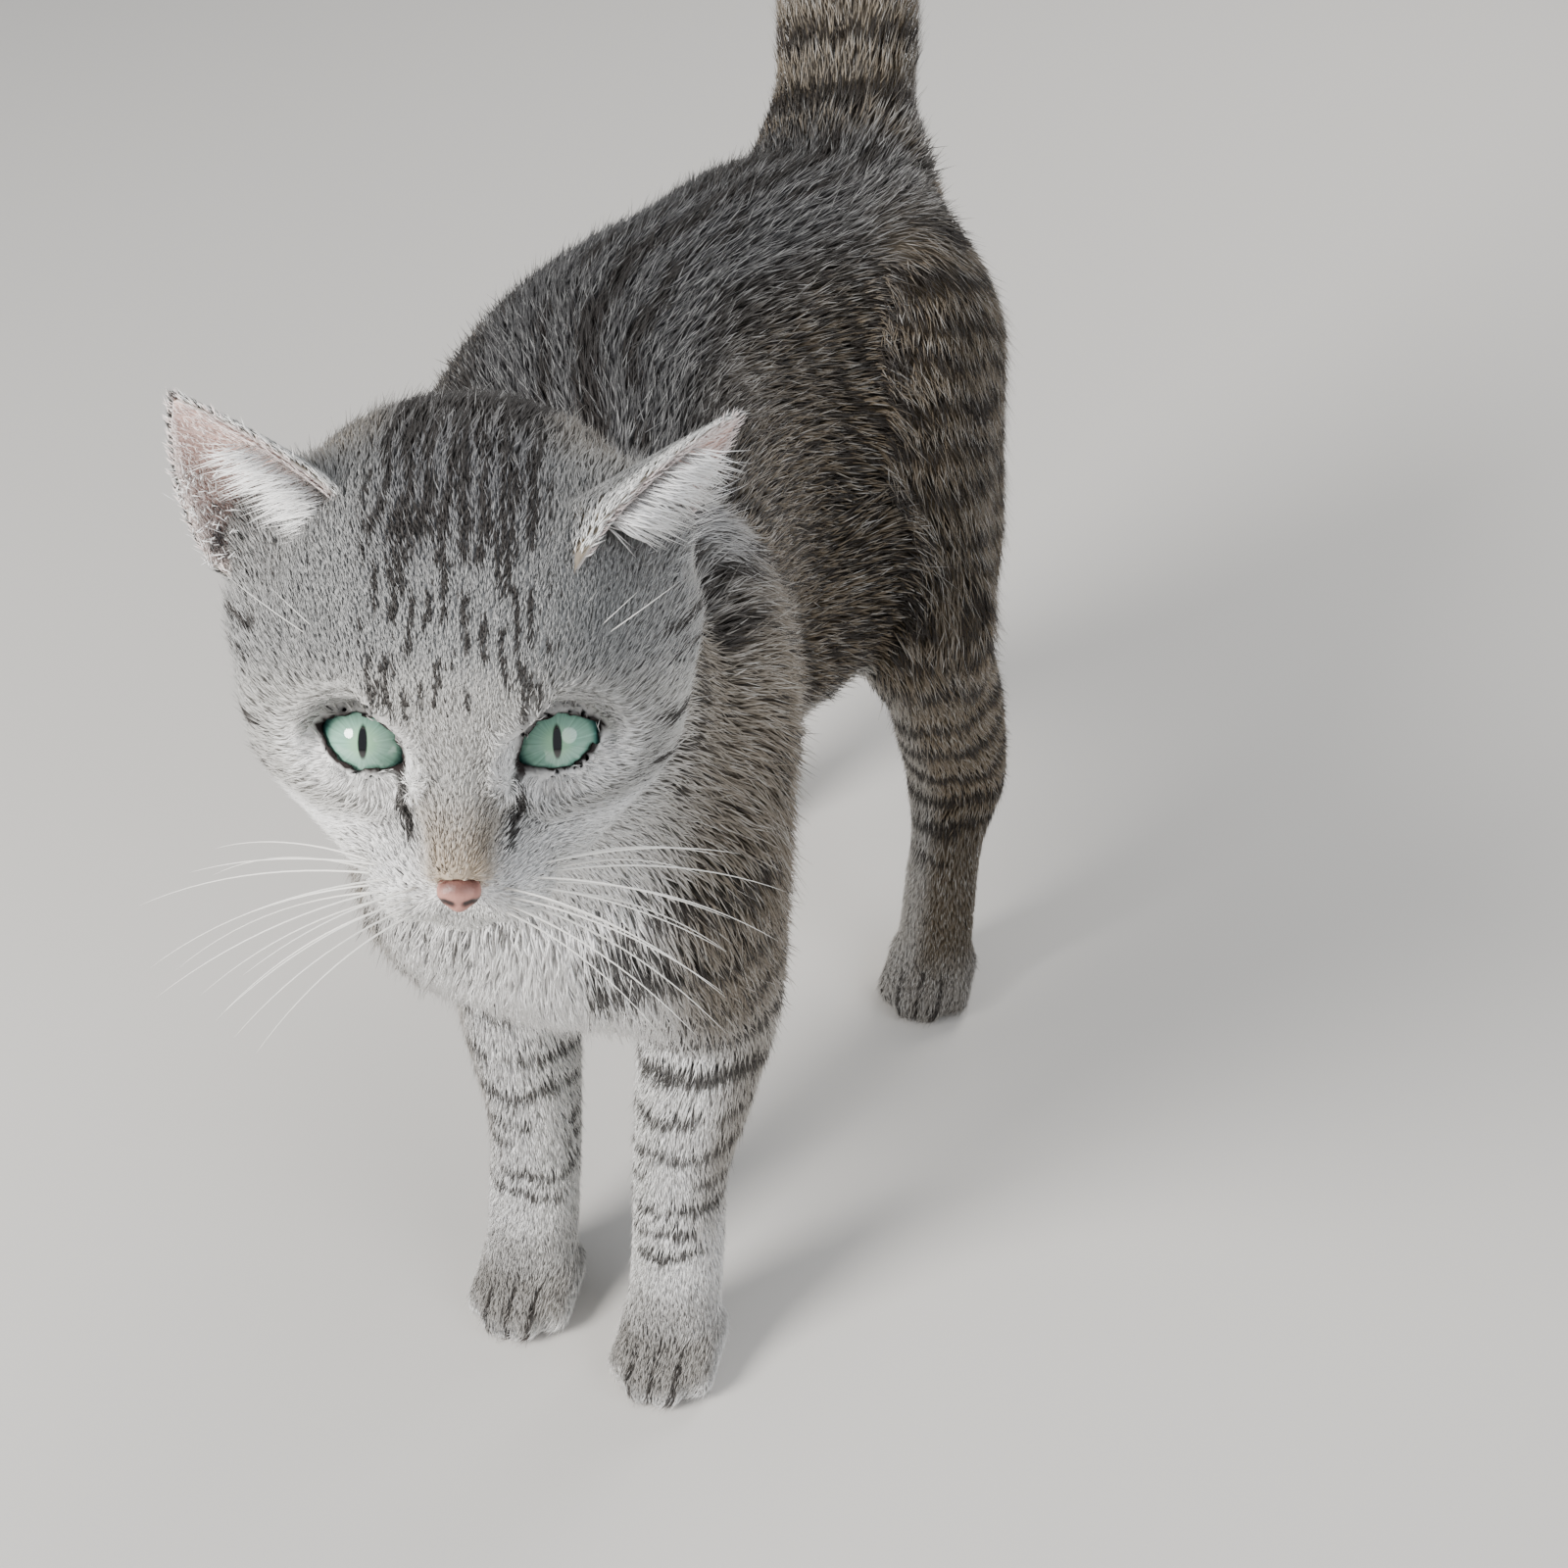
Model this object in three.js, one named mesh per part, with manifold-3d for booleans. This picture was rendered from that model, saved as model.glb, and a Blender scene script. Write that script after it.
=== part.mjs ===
// A grown short-haired tabby cat, standing, life size, out to the tips of its coat.
// Millimetres, +Z up. The cat heads towards -Y and its left side is +X. The floor is z = 0.
// The stations below are written from the floor point midway between the toes of the two
// forepaws, and at the end the whole cat is moved to put the middle of its box over the origin.
//
// The body is one smooth field: every limb is a chain of elliptical stations along a curve, and
// the chains melt into each other. A grid is marched over the field to give a closed skin, and
// plane cuts part that skin into the head, neck, trunk, tail, legs and paws.

import * as THREE from 'three';
import { mergeVertices } from 'three/addons/utils/BufferGeometryUtils.js';
import Module from 'manifold-3d';

const wasm = await Module();
wasm.setup();

// ---------------------------------------------------------------- driving dimensions

const PARTING = 0.4;              // gap between neighbouring pieces
const DEGREE = Math.PI / 180;

const HEAD_YAW = 20 * DEGREE;     // the head looks over the left forepaw
const HEAD_PITCH = 4 * DEGREE;
const HEAD_ROLL = -2.7 * DEGREE;
const HEAD_ORIGIN = [9.5, -67.4, 287.5];
const EYE = { left: 19.9, back: -0.8, up: -4.2 };
const EYEBALL_RADIUS = 11;
const EYE_OUTWARD = 6 * DEGREE;   // of the gap between the lids
const EYE_UPWARD = 27 * DEGREE;
const LID_OPENING = { width: 18.5, height: 10.4, slant: 21 * DEGREE };
const LID_DEPTH = 2;              // lids with their short coat, over the eyeball
const ORBIT = { inner: 8.5, outer: 15 };

const WRIST_HEIGHT = 44;          // where a paw is parted from its leg
const ELBOW_HEIGHT = 132;
const FLOOR = 0;

const TOE_SPREADS = [-10.2, -3.7, 3.7, 10.2];
const TOE_LAG = [6, 0, 0, 6];     // the outer toes end behind the two middle ones

const NOSE = { middle: [0, -36.6, -18], halfWidth: 4.2, depth: 3.6, halfHeight: 3.9 };
const EAR = { baseWidth: 39, thickness: 3.4, rows: 7, columns: 6 };

// ---------------------------------------------------------------- small vector helpers

const add = (a, b) => a.map((value, i) => value + b[i]);
const sub = (a, b) => a.map((value, i) => value - b[i]);
const scale = (a, s) => a.map((value) => value * s);
const dot = (a, b) => a[0] * b[0] + a[1] * b[1] + a[2] * b[2];
const cross = (a, b) => [a[1] * b[2] - a[2] * b[1], a[2] * b[0] - a[0] * b[2], a[0] * b[1] - a[1] * b[0]];
const unit = (a) => scale(a, 1 / Math.hypot(...a));
const mix = (a, b, t) => a.map((value, i) => value + (b[i] - value) * t);
const ramp = (low, high, x) => {
  const t = Math.min(1, Math.max(0, (x - low) / (high - low)));
  return t * t * (3 - 2 * t);
};

// ---------------------------------------------------------------- the head's own axes

// Left, back and up of the head, turned by yaw, pitch and roll from the body's.
function headAxes() {
  const forward = [Math.sin(HEAD_YAW) * Math.cos(HEAD_PITCH), -Math.cos(HEAD_YAW) * Math.cos(HEAD_PITCH),
    -Math.sin(HEAD_PITCH)];
  const level = [Math.cos(HEAD_YAW), Math.sin(HEAD_YAW), 0];
  const upright = cross(level, scale(forward, -1));
  return {
    left: add(scale(level, Math.cos(HEAD_ROLL)), scale(upright, Math.sin(HEAD_ROLL))),
    back: scale(forward, -1),
    up: sub(scale(upright, Math.cos(HEAD_ROLL)), scale(level, Math.sin(HEAD_ROLL))),
  };
}
const HEAD = headAxes();

// A direction and a point given as left, back and up from the head's origin, between the eyes.
const headDirection = (left, back, up) =>
  add(add(scale(HEAD.left, left), scale(HEAD.back, back)), scale(HEAD.up, up));
const headPoint = (left, back, up) => add(HEAD_ORIGIN, headDirection(left, back, up));

// ---------------------------------------------------------------- chains of stations

const chains = [];

// Catmull-Rom curve through the stations, all of their numbers alike.
function smoothStations(stations, steps) {
  if (stations.length === 2) return stations;
  const before = sub(scale(stations[0], 2), stations[1]);
  const after = sub(scale(stations.at(-1), 2), stations.at(-2));
  const run = [before, ...stations, after];
  const out = [];
  for (let i = 0; i < stations.length - 1; i++) {
    const [a, b, c, d] = run.slice(i, i + 4);
    for (let k = 0; k < steps; k++) {
      const t = k / steps;
      out.push(b.map((_, n) => 0.5 * (2 * b[n] + (c[n] - a[n]) * t
        + (2 * a[n] - 5 * b[n] + 4 * c[n] - d[n]) * t * t
        + (3 * b[n] - a[n] - 3 * c[n] + d[n]) * t * t * t)));
    }
  }
  out.push(stations.at(-1));
  return out;
}

// A station is x, y, z, half width (along side) and half depth.
function chain(stations, { side = [1, 0, 0], blend = 12, steps = 4 } = {}) {
  const points = smoothStations(stations, steps);
  const reach = Math.max(...points.map((p) => Math.max(p[3], p[4]))) + blend + 30;
  const segments = [];
  for (let i = 0; i < points.length - 1; i++) {
    const a = points[i];
    const b = points[i + 1];
    const axis = [b[0] - a[0], b[1] - a[1], b[2] - a[2]];
    const tangent = unit(axis);
    const across = unit(sub(side, scale(tangent, dot(side, tangent))));
    segments.push({ a, b, axis, square: dot(axis, axis), tangent, across, depth: cross(tangent, across) });
  }
  const low = [0, 1, 2].map((n) => Math.min(...points.map((p) => p[n])) - reach);
  const high = [0, 1, 2].map((n) => Math.max(...points.map((p) => p[n])) + reach);
  chains.push({ segments, blend, low, high });
}

const headStation = ([left, back, up, width, depth]) => [...headPoint(left, back, up), width, depth];
const headChain = (stations, blend) => chain(stations.map(headStation), { side: HEAD.left, blend });
function headPair(stations, blend) {
  for (const s of [1, -1]) headChain(stations.map(([left, ...rest]) => [s * left, ...rest]), blend);
}

// ---- trunk: from the breast over ribs and loin to the rump, bowed to the cat's right
chain([[3, 14, 196, 42, 44], [-2, 50, 199, 51, 67], [-18, 92, 206, 57, 71], [-38, 140, 212, 61, 70],
  [-43, 190, 219, 58, 65], [-28, 240, 227, 54, 58], [-8, 290, 234, 50, 49], [-9, 322, 242, 37, 38]],
{ blend: 30, steps: 6 });
// the fold of skin from the belly to the left knee
chain([[-12, 120, 178, 34, 34], [12, 168, 172, 30, 30], [26, 196, 178, 24, 30]], { blend: 26 });
// the muscle between the ribs and the left thigh, which fills the hollow of the flank
chain([[-8, 140, 214, 26, 32], [-3, 185, 211, 26, 30], [12, 215, 205, 26, 30]], { blend: 20 });

// ---- neck and throat
chain([[...headPoint(0, 47, 0), 43, 41], [-1, 4, 243, 47, 46], [0, 38, 227, 48, 50]],
  { side: HEAD.left, blend: 26 });
chain([[...headPoint(0, 20, -26), 27, 26], [1, -8, 224, 40, 30], [-1, 0, 192, 46, 34], [-1, 20, 166, 38, 32]],
  { side: [1, 0.2, 0], blend: 24 });

// ---- tail: raised, with its tip leaning forward
chain([[-10, 318, 256, 26, 26], [-15, 350, 290, 27, 28], [-19, 364, 335, 26.5, 26.5], [-20, 368, 385, 24, 24],
  [-18, 364, 440, 21.5, 21.5], [-15, 352, 495, 19, 19], [-13, 334, 540, 15, 15]], { blend: 26 });

// ---- forelegs: shoulder, upper arm, forearm, wrist and four toes
function foreleg(s, x, toe, spread) {
  chain([[s * 18 + 1, 58, 246, 16, 26], [s * 30 + 2 + spread, 18, 200, 23, 32],
    [s * 33 + spread, 24, 165, 22, 32], [x + s * 8, toe + 46, ELBOW_HEIGHT, 21.5, 25],
    [x + s * 4, toe + 42, 100, 18.5, 20], [x, toe + 37, 68, 15, 16], [x, toe + 33, 42, 14.5, 14.5],
    [x, toe + 25, 12.5, 15, 14]], { blend: 22 });
  toes(x, toe, 11.5, 7.5, 10.5, 6.6);
}
function toes(x, toe, knuckle, width, depth, tip) {
  TOE_SPREADS.forEach((spread, i) => {
    const y = toe + TOE_LAG[i];
    const claw = [x + spread, y + 8, tip, 7.2, tip + 1.4];
    chain([[x + spread * 0.9, y + 22, knuckle, width, depth], claw], { blend: 4 });
  });
}
foreleg(1, 22.5, -10, 0);
foreleg(-1, -28.5, 2.5, -5);

// ---- hind legs: thigh, shank, hock, foot and four toes
function hindLeg(x, toe, hip, knee, hock) {
  chain([[...hip, 27, 50], [...mix(hip, knee, 0.55), 26, 46], [...knee, 20, 28]], { blend: 26 });
  chain([[...knee, 20, 28], [...mix(knee, hock, 0.5), 17.5, 24], [...hock, 13.5, 16],
    [x, toe + 38, 45, 13.5, 13.5], [x, toe + 28, 11.5, 14, 13]], { blend: 18 });
  const ham = [mix(hip, hock, 0.5)[0], hip[1] + 6, hip[2] - 70];
  chain([[hip[0], hip[1] + 24, hip[2] - 14, 24, 34], [...ham, 20, 30], [...mix(hip, hock, 0.72), 15, 20],
    [...hock, 11, 12]], { blend: 26 });
  toes(x, toe, 11, 7.2, 10, 6.4);
}
hindLeg(58.5, 184, [28, 280, 222], [52, 205, 160], [58, 240, 78]);
hindLeg(-45, 248, [-34, 288, 226], [-50, 228, 156], [-47, 300, 78]);

// ---- head, in its own axes
headChain([[0, 14, 10, 43, 36], [0, 38, 10, 45, 39]], 16);                            // braincase
headChain([[0, -1, 16, 25, 20], [0, 15, 22, 36, 27]], 14);                            // forehead
headChain([[0, -5, 8, 12, 13], [0, -20, -3, 9, 10], [0, -32, -14, 6.5, 7]], 8);       // nose bridge
headChain([[0, -32, -15, 6, 6], [0, -34.5, -18, 5, 4.5]], 3);                         // nose tip
headChain([[0, 0, -20, 25, 18], [0, -16, -23, 18, 13]], 8);                           // muzzle
headPair([[8, -20, -25, 10, 9.5], [10.5, -23, -26, 10, 9]], 4);                       // whisker pads
headChain([[0, -21, -34, 8, 7], [0, -8, -33, 14, 11]], 6);                            // chin
headPair([[15.5, -4, -27, 13, 11.5], [29.5, 20, -17, 19, 20]], 10);                   // jaws
headPair([[28.5, 11, -2, 18.5, 20], [32, 32, 2, 22, 25]], 12);                        // cheeks
headPair([[22, 0, -12, 13.5, 11.5], [25, 8, -11, 15.5, 14.5]], 8);                    // under the eyes
headPair([[17, 3, 15, 11, 10], [22, 12, 16, 18, 17]], 8);                             // brows
headPair([[28, 24, 14, 17, 16], [35, 32, 28, 16, 12]], 10);                           // roots of the ears

// ---------------------------------------------------------------- eyes

const eyeCentre = (s) => headPoint(s * EYE.left, EYE.back, EYE.up);
const lidAxis = (s) =>
  unit(headDirection(s * Math.sin(EYE_OUTWARD), -Math.cos(EYE_OUTWARD), Math.tan(EYE_UPWARD)));

// The lids lie on the eyeball: round the axis of each eye the face turns into a ball over it.
const orbits = [1, -1].map((s) => ({ centre: eyeCentre(s), axis: lidAxis(s) }));
function withLids(p, face) {
  let f = face;
  for (const { centre, axis } of orbits) {
    const q = sub(p, centre);
    const reach = Math.hypot(...q);
    const ahead = dot(q, axis);
    if (ahead < 0 || reach > 30) continue;
    const off = Math.sqrt(Math.max(reach * reach - ahead * ahead, 0));
    const share = ramp(ORBIT.outer, ORBIT.inner, off) * ramp(0, 5, ahead);
    f += (reach - EYEBALL_RADIUS - LID_DEPTH - f) * share;
  }
  return f;
}

// ---------------------------------------------------------------- the field

// Distance from a point to the elliptical tube of one chain, negative inside.
function chainDistance({ segments }, p) {
  let nearest = Infinity;
  let distance = 0;
  for (const { a, b, axis, square, tangent, across, depth } of segments) {
    const q = [p[0] - a[0], p[1] - a[1], p[2] - a[2]];
    const t = Math.min(1, Math.max(0, dot(q, axis) / square));
    q[0] -= t * axis[0];
    q[1] -= t * axis[1];
    q[2] -= t * axis[2];
    const gap = dot(q, q);
    if (gap >= nearest) continue;
    nearest = gap;
    const rs = a[3] + (b[3] - a[3]) * t;
    const rd = a[4] + (b[4] - a[4]) * t;
    const rt = (rs + rd) / 2;
    const v = dot(q, across) / rs;
    const w = dot(q, depth) / rd;
    const u = dot(q, tangent) / rt;
    const k0 = Math.sqrt(v * v + w * w + u * u);
    const k1 = Math.hypot(v / rs, w / rd, u / rt) + 1e-9;
    distance = k0 * (k0 - 1) / k1;
    if (k0 < 0.2) distance = Math.max(distance, -Math.min(rs, rd));
  }
  return distance;
}

// Smooth union of all chains that come near the point.
function field(p) {
  let total = 60;
  for (const one of chains) {
    const { low, high, blend } = one;
    if (p[0] < low[0] || p[1] < low[1] || p[2] < low[2]) continue;
    if (p[0] > high[0] || p[1] > high[1] || p[2] > high[2]) continue;
    const d = chainDistance(one, p);
    const h = Math.max(blend - Math.abs(total - d), 0) / blend;
    total = Math.min(total, d) - h * h * blend / 4;
  }
  return withLids(p, total);
}

// ---------------------------------------------------------------- marching a grid over the field

// Moves a point onto the level surface of the field along the field's slope.
function settle(p, level, nearby) {
  for (let pass = 0; pass < 3; pass++) {
    const f = field(p) - level;
    if (Math.abs(f) > nearby * 0.8) return;
    const slope = [0, 1, 2].map((n) => {
      const ahead = [...p];
      const behind = [...p];
      ahead[n] += 0.2;
      behind[n] -= 0.2;
      return (field(ahead) - field(behind)) / 0.4;
    });
    const step = f / Math.max(dot(slope, slope), 0.2);
    for (let n = 0; n < 3; n++) p[n] -= step * slope[n];
  }
}

// Closed skin of the body inside the box low..high: one corner in each grid cell that the
// surface crosses, and a quad round each grid edge that it crosses. The box's own walls close it.
function skin(low, high, cell, level = 0) {
  const count = [0, 1, 2].map((n) => Math.round((high[n] - low[n]) / cell[n]) + 1);
  const place = (n, i) => low[n] + i * cell[n];
  const finest = Math.min(...cell);
  const stride = [count[1] * count[2], count[2], 1];
  const index = (i, j, k) => i * stride[0] + j * stride[1] + k;
  const value = new Float64Array(count[0] * count[1] * count[2]);
  for (let i = 0; i < count[0]; i++) {
    for (let j = 0; j < count[1]; j++) {
      for (let k = 0; k < count[2]; k++) {
        const wall = [i, j, k].some((m, n) => m === 0 || m === count[n] - 1);
        const f = field([place(0, i), place(1, j), place(2, k)]) - level;
        value[index(i, j, k)] = wall ? Math.max(f, finest * 0.3) : f;
      }
    }
  }
  const corner = new Map();
  const positions = [];
  for (let i = 0; i < count[0] - 1; i++) {
    for (let j = 0; j < count[1] - 1; j++) {
      for (let k = 0; k < count[2] - 1; k++) {
        const sum = [0, 0, 0];
        let crossings = 0;
        for (let axis = 0; axis < 3; axis++) {
          for (let side = 0; side < 4; side++) {
            const from = [i, j, k];
            from[(axis + 1) % 3] += side & 1;
            from[(axis + 2) % 3] += side >> 1;
            const a = value[index(...from)];
            const b = value[index(...from) + stride[axis]];
            if ((a < 0) === (b < 0)) continue;
            const point = from.map((m, n) => place(n, m));
            point[axis] += cell[axis] * a / (a - b);
            for (let n = 0; n < 3; n++) sum[n] += point[n];
            crossings += 1;
          }
        }
        if (crossings === 0) continue;
        const p = scale(sum, 1 / crossings);
        settle(p, level, finest);
        corner.set(index(i, j, k), positions.length / 3);
        positions.push(...p);
      }
    }
  }
  const triangles = [];
  const at = (n) => new THREE.Vector3().fromArray(positions, n * 3);
  const quad = (a, b, c, d) => {
    if (at(a).distanceTo(at(c)) <= at(b).distanceTo(at(d))) triangles.push(a, b, c, a, c, d);
    else triangles.push(a, b, d, b, c, d);
  };
  for (let i = 0; i < count[0] - 1; i++) {
    for (let j = 0; j < count[1] - 1; j++) {
      for (let k = 0; k < count[2] - 1; k++) {
        const from = [i, j, k];
        const here = index(i, j, k);
        for (let axis = 0; axis < 3; axis++) {
          if (from[(axis + 1) % 3] === 0 || from[(axis + 2) % 3] === 0) continue;
          const a = value[here] < 0;
          const b = value[here + stride[axis]] < 0;
          if (a === b) continue;
          const one = stride[(axis + 1) % 3];
          const two = stride[(axis + 2) % 3];
          const ring = [here - one - two, here - two, here, here - one].map((n) => corner.get(n));
          quad(...(a ? ring : ring.reverse()));
        }
      }
    }
  }
  const geometry = new THREE.BufferGeometry();
  geometry.setAttribute('position', new THREE.Float32BufferAttribute(positions, 3));
  geometry.setIndex(triangles);
  return geometry;
}

// ---------------------------------------------------------------- solids

function solid(geometry) {
  const bare = geometry.clone();
  for (const name of ['normal', 'uv']) bare.deleteAttribute(name);
  const merged = mergeVertices(bare, 1e-4);
  return new wasm.Manifold(new wasm.Mesh({
    numProp: 3,
    vertProperties: new Float32Array(merged.attributes.position.array),
    triVerts: new Uint32Array(merged.index.array),
  }));
}

function geometryOf(manifold) {
  const mesh = manifold.getMesh();
  const geometry = new THREE.BufferGeometry();
  geometry.setAttribute('position', new THREE.BufferAttribute(new Float32Array(mesh.vertProperties), 3));
  geometry.setIndex(new THREE.BufferAttribute(new Uint32Array(mesh.triVerts), 1));
  geometry.computeVertexNormals();
  return geometry;
}

// A closed body through rings of points, each ring closed, with a fan over each end.
function loft(rings) {
  const size = rings[0].length;
  const middle = (ring) => scale(ring.reduce(add), 1 / size);
  const points = [...rings.flat(), middle(rings[0]), middle(rings.at(-1))];
  const first = rings.length * size;
  const triangles = [];
  for (let i = 0; i < size; i++) {
    const next = (i + 1) % size;
    for (let r = 0; r < rings.length - 1; r++) {
      const base = r * size;
      const above = base + size;
      triangles.push(base + i, base + next, above + next, base + i, above + next, above + i);
    }
    triangles.push(first, next, i, first + 1, first - size + i, first - size + next);
  }
  const geometry = new THREE.BufferGeometry();
  geometry.setAttribute('position', new THREE.Float32BufferAttribute(points.flat(), 3));
  geometry.setIndex(triangles);
  return geometry;
}

// Everything behind a plane: the normal points out of what is kept, grown by shift.
const HALF = 900;
function behind(point, normal, shift = 0) {
  const out = new THREE.Vector3(...unit(normal));
  const block = new THREE.BoxGeometry(2 * HALF, 2 * HALF, 2 * HALF);
  block.translate(0, 0, shift - HALF);
  block.applyQuaternion(new THREE.Quaternion().setFromUnitVectors(new THREE.Vector3(0, 0, 1), out));
  block.translate(...point);
  return solid(block);
}

// ---------------------------------------------------------------- parting planes

// Each region is the space behind all of its planes, as point and outward normal.
const MIDLINE = -4;
const regions = {
  head: [[headPoint(0, 72, 28), headDirection(0, 0.76, -0.65)]],
  neck: [[[0, 30, 262], [0, 0.726, -0.688]]],
  tail: [[[-12, 338, 277], [0.1, -0.68, -0.72]]],
};
for (const [side, s] of [['left', 1], ['right', -1]]) {
  const divider = [[MIDLINE, 0, 0], [-s, 0, 0]];
  const front = [[0, 72, 0], [0, 1, 0]];
  const back = [[0, 140, 0], [0, -1, 0]];
  const wrist = [[0, 0, WRIST_HEIGHT], [0, 0, 1]];
  const flank = [[0, s > 0 ? 160 : 190, 150], [0, -0.73, 0.68]];
  regions[`foreleg_${side}`] = [[[MIDLINE, 0, 128], [-0.35 * s, 0, 1]], divider, front];
  regions[`hindleg_${side}`] = [[[MIDLINE, 0, 158], [-0.9 * s, 0, 1]], divider, flank];
  regions[`forepaw_${side}`] = [wrist, divider, front];
  regions[`hindpaw_${side}`] = [wrist, divider, back];
}
function region(name, shift = 0) {
  return regions[name].map(([point, normal]) => behind(point, normal, shift)).reduce((a, b) => a.intersect(b));
}

// Nodes of flesh: the grid box and cell that their skin is marched in, and the regions that
// are taken away from them.
const flesh = {
  head: { low: [-78, -125.5, 224.5], high: [80, 42, 350], cell: [6.9, 6.9, 6.9], without: [] },
  neck: { low: [-75, -68, 143], high: [78, 82, 342], cell: [13, 13, 13], without: ['head'] },
  trunk: {
    low: [-124, -44, 107],
    high: [102, 384, 308],
    cell: [15.5, 22.5, 15.5],
    without: ['neck', 'tail', 'foreleg_left', 'foreleg_right', 'hindleg_left', 'hindleg_right'],
  },
  tail: { low: [-63, 301, 231], high: [34, 410, 572], cell: [12, 12, 26], without: [] },
};
for (const [side, s] of [['left', 1], ['right', -1]]) {
  const fore = s > 0 ? [-14, 76] : [-92, 6];
  const hind = s > 0 ? [-20, 98] : [-107.5, 12];
  flesh[`foreleg_${side}`] = {
    low: [fore[0], -24, 30], high: [fore[1], 90, 172], cell: [9.5, 9.5, 16], without: [`forepaw_${side}`],
  };
  flesh[`hindleg_${side}`] = {
    low: [hind[0], 130, 30], high: [hind[1], 362, 268], cell: [13, 14, 18], without: [`hindpaw_${side}`],
  };
  flesh[`forepaw_${side}`] = { low: [fore[0], -30, -12], high: [fore[1], 66, 58], cell: [7, 8, 8], without: [] };
  flesh[`hindpaw_${side}`] = { low: [hind[0], 168, -12], high: [hind[1], 330, 58], cell: [7, 8, 8], without: [] };
}

// ---------------------------------------------------------------- eyeballs, nose and ears

function eyeball(s, extra = 0) {
  const ball = new THREE.SphereGeometry(EYEBALL_RADIUS + extra, 12, 8);
  ball.applyQuaternion(new THREE.Quaternion().setFromUnitVectors(
    new THREE.Vector3(0, 1, 0), new THREE.Vector3(...lidAxis(s))));
  ball.translate(...eyeCentre(s));
  return ball;
}

// The gap between the lids: an oval prism along the eye's axis, its outer corner raised.
function lidOpening(s) {
  const length = 30;
  const prism = new THREE.CylinderGeometry(1, 1, length, 14);
  prism.translate(0, length / 2, 0);
  const forward = lidAxis(s);
  const across = unit(sub(HEAD.left, scale(forward, dot(HEAD.left, forward))));
  const fall = cross(across, forward);
  const slant = -s * LID_OPENING.slant;
  const wide = add(scale(across, Math.cos(slant)), scale(fall, Math.sin(slant)));
  const tall = sub(scale(fall, Math.cos(slant)), scale(across, Math.sin(slant)));
  const turn = new THREE.Matrix4().makeBasis(
    new THREE.Vector3(...scale(wide, LID_OPENING.width / 2)),
    new THREE.Vector3(...forward),
    new THREE.Vector3(...scale(tall, LID_OPENING.height / 2)));
  prism.applyMatrix4(turn);
  prism.translate(...eyeCentre(s));
  return prism;
}

// The bare leather at the end of the nose.
function noseLeather(extra = 0) {
  const leather = new THREE.SphereGeometry(1, 12, 8);
  leather.scale(NOSE.halfWidth + extra, NOSE.depth + extra, NOSE.halfHeight + extra);
  leather.applyMatrix4(new THREE.Matrix4().makeBasis(
    new THREE.Vector3(...HEAD.left), new THREE.Vector3(...HEAD.back), new THREE.Vector3(...HEAD.up)));
  leather.translate(...headPoint(...NOSE.middle));
  return leather;
}

// An ear is a cupped, thin shell: each row across it is an arc, deep at the base and almost
// flat at the tip, with both edges of the arc in the plane of the opening.
const ears = {
  ear_left: { base: [33, 14, 29.5], tip: [60, 45, 48], opening: [0.66, -0.6, -0.22] },
  ear_right: { base: [-37, 25, 27], tip: [-57, 23, 64], opening: [-0.2, -0.97, -0.15] },
};
function earShell({ base, tip, opening }) {
  const root = headPoint(...base);
  const axis = unit(sub(headPoint(...tip), root));
  const height = Math.hypot(...sub(tip, base));
  const rawOut = headDirection(...opening);
  const out = unit(sub(rawOut, scale(axis, dot(rawOut, axis))));
  const across = cross(out, axis);
  const rings = [];
  for (let row = 0; row <= EAR.rows; row++) {
    const s = -0.25 + 1.24 * row / EAR.rows;
    const rise = Math.max(s, 0);
    const half = EAR.baseWidth / 2 * (1 - rise ** 1.6) ** 0.9 * (1 + 0.9 * Math.min(s, 0));
    const bend = (72 - 44 * rise) * DEGREE;
    const radius = half / Math.sin(bend);
    const ring = [];
    for (const face of [1, -1]) {
      for (let column = 0; column <= EAR.columns; column++) {
        const u = face * (2 * column / EAR.columns - 1);
        const angle = u * bend;
        const r = radius + face * EAR.thickness / 2 * (1 - 0.5 * u * u) * (1 - 0.4 * rise);
        ring.push(add(root, add(scale(axis, height * s),
          add(scale(across, r * Math.sin(angle)), scale(out, radius * Math.cos(bend) - r * Math.cos(angle))))));
      }
    }
    rings.push(ring);
  }
  return loft(rings);
}

// ---------------------------------------------------------------- colours

const finishes = {
  coat: { color: 0x8d8272, roughness: 0.9 },
  pale: { color: 0xcfc8bb, roughness: 0.9 },
  leather: { color: 0xb5776a, roughness: 0.55 },
  eye: { color: 0x8fc7b0, roughness: 0.08 },
};
const finishOf = (name) => {
  if (name.startsWith('eye')) return 'eye';
  if (name === 'nose') return 'leather';
  return name.startsWith('forepaw') || name.startsWith('hindpaw') ? 'pale' : 'coat';
};

// ---------------------------------------------------------------- the cat

const cat = new THREE.Group();

function place(name, manifold) {
  const finish = finishes[finishOf(name)];
  const mesh = new THREE.Mesh(geometryOf(manifold), new THREE.MeshStandardMaterial({ ...finish, metalness: 0 }));
  mesh.name = name;
  cat.add(mesh);
}

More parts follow.
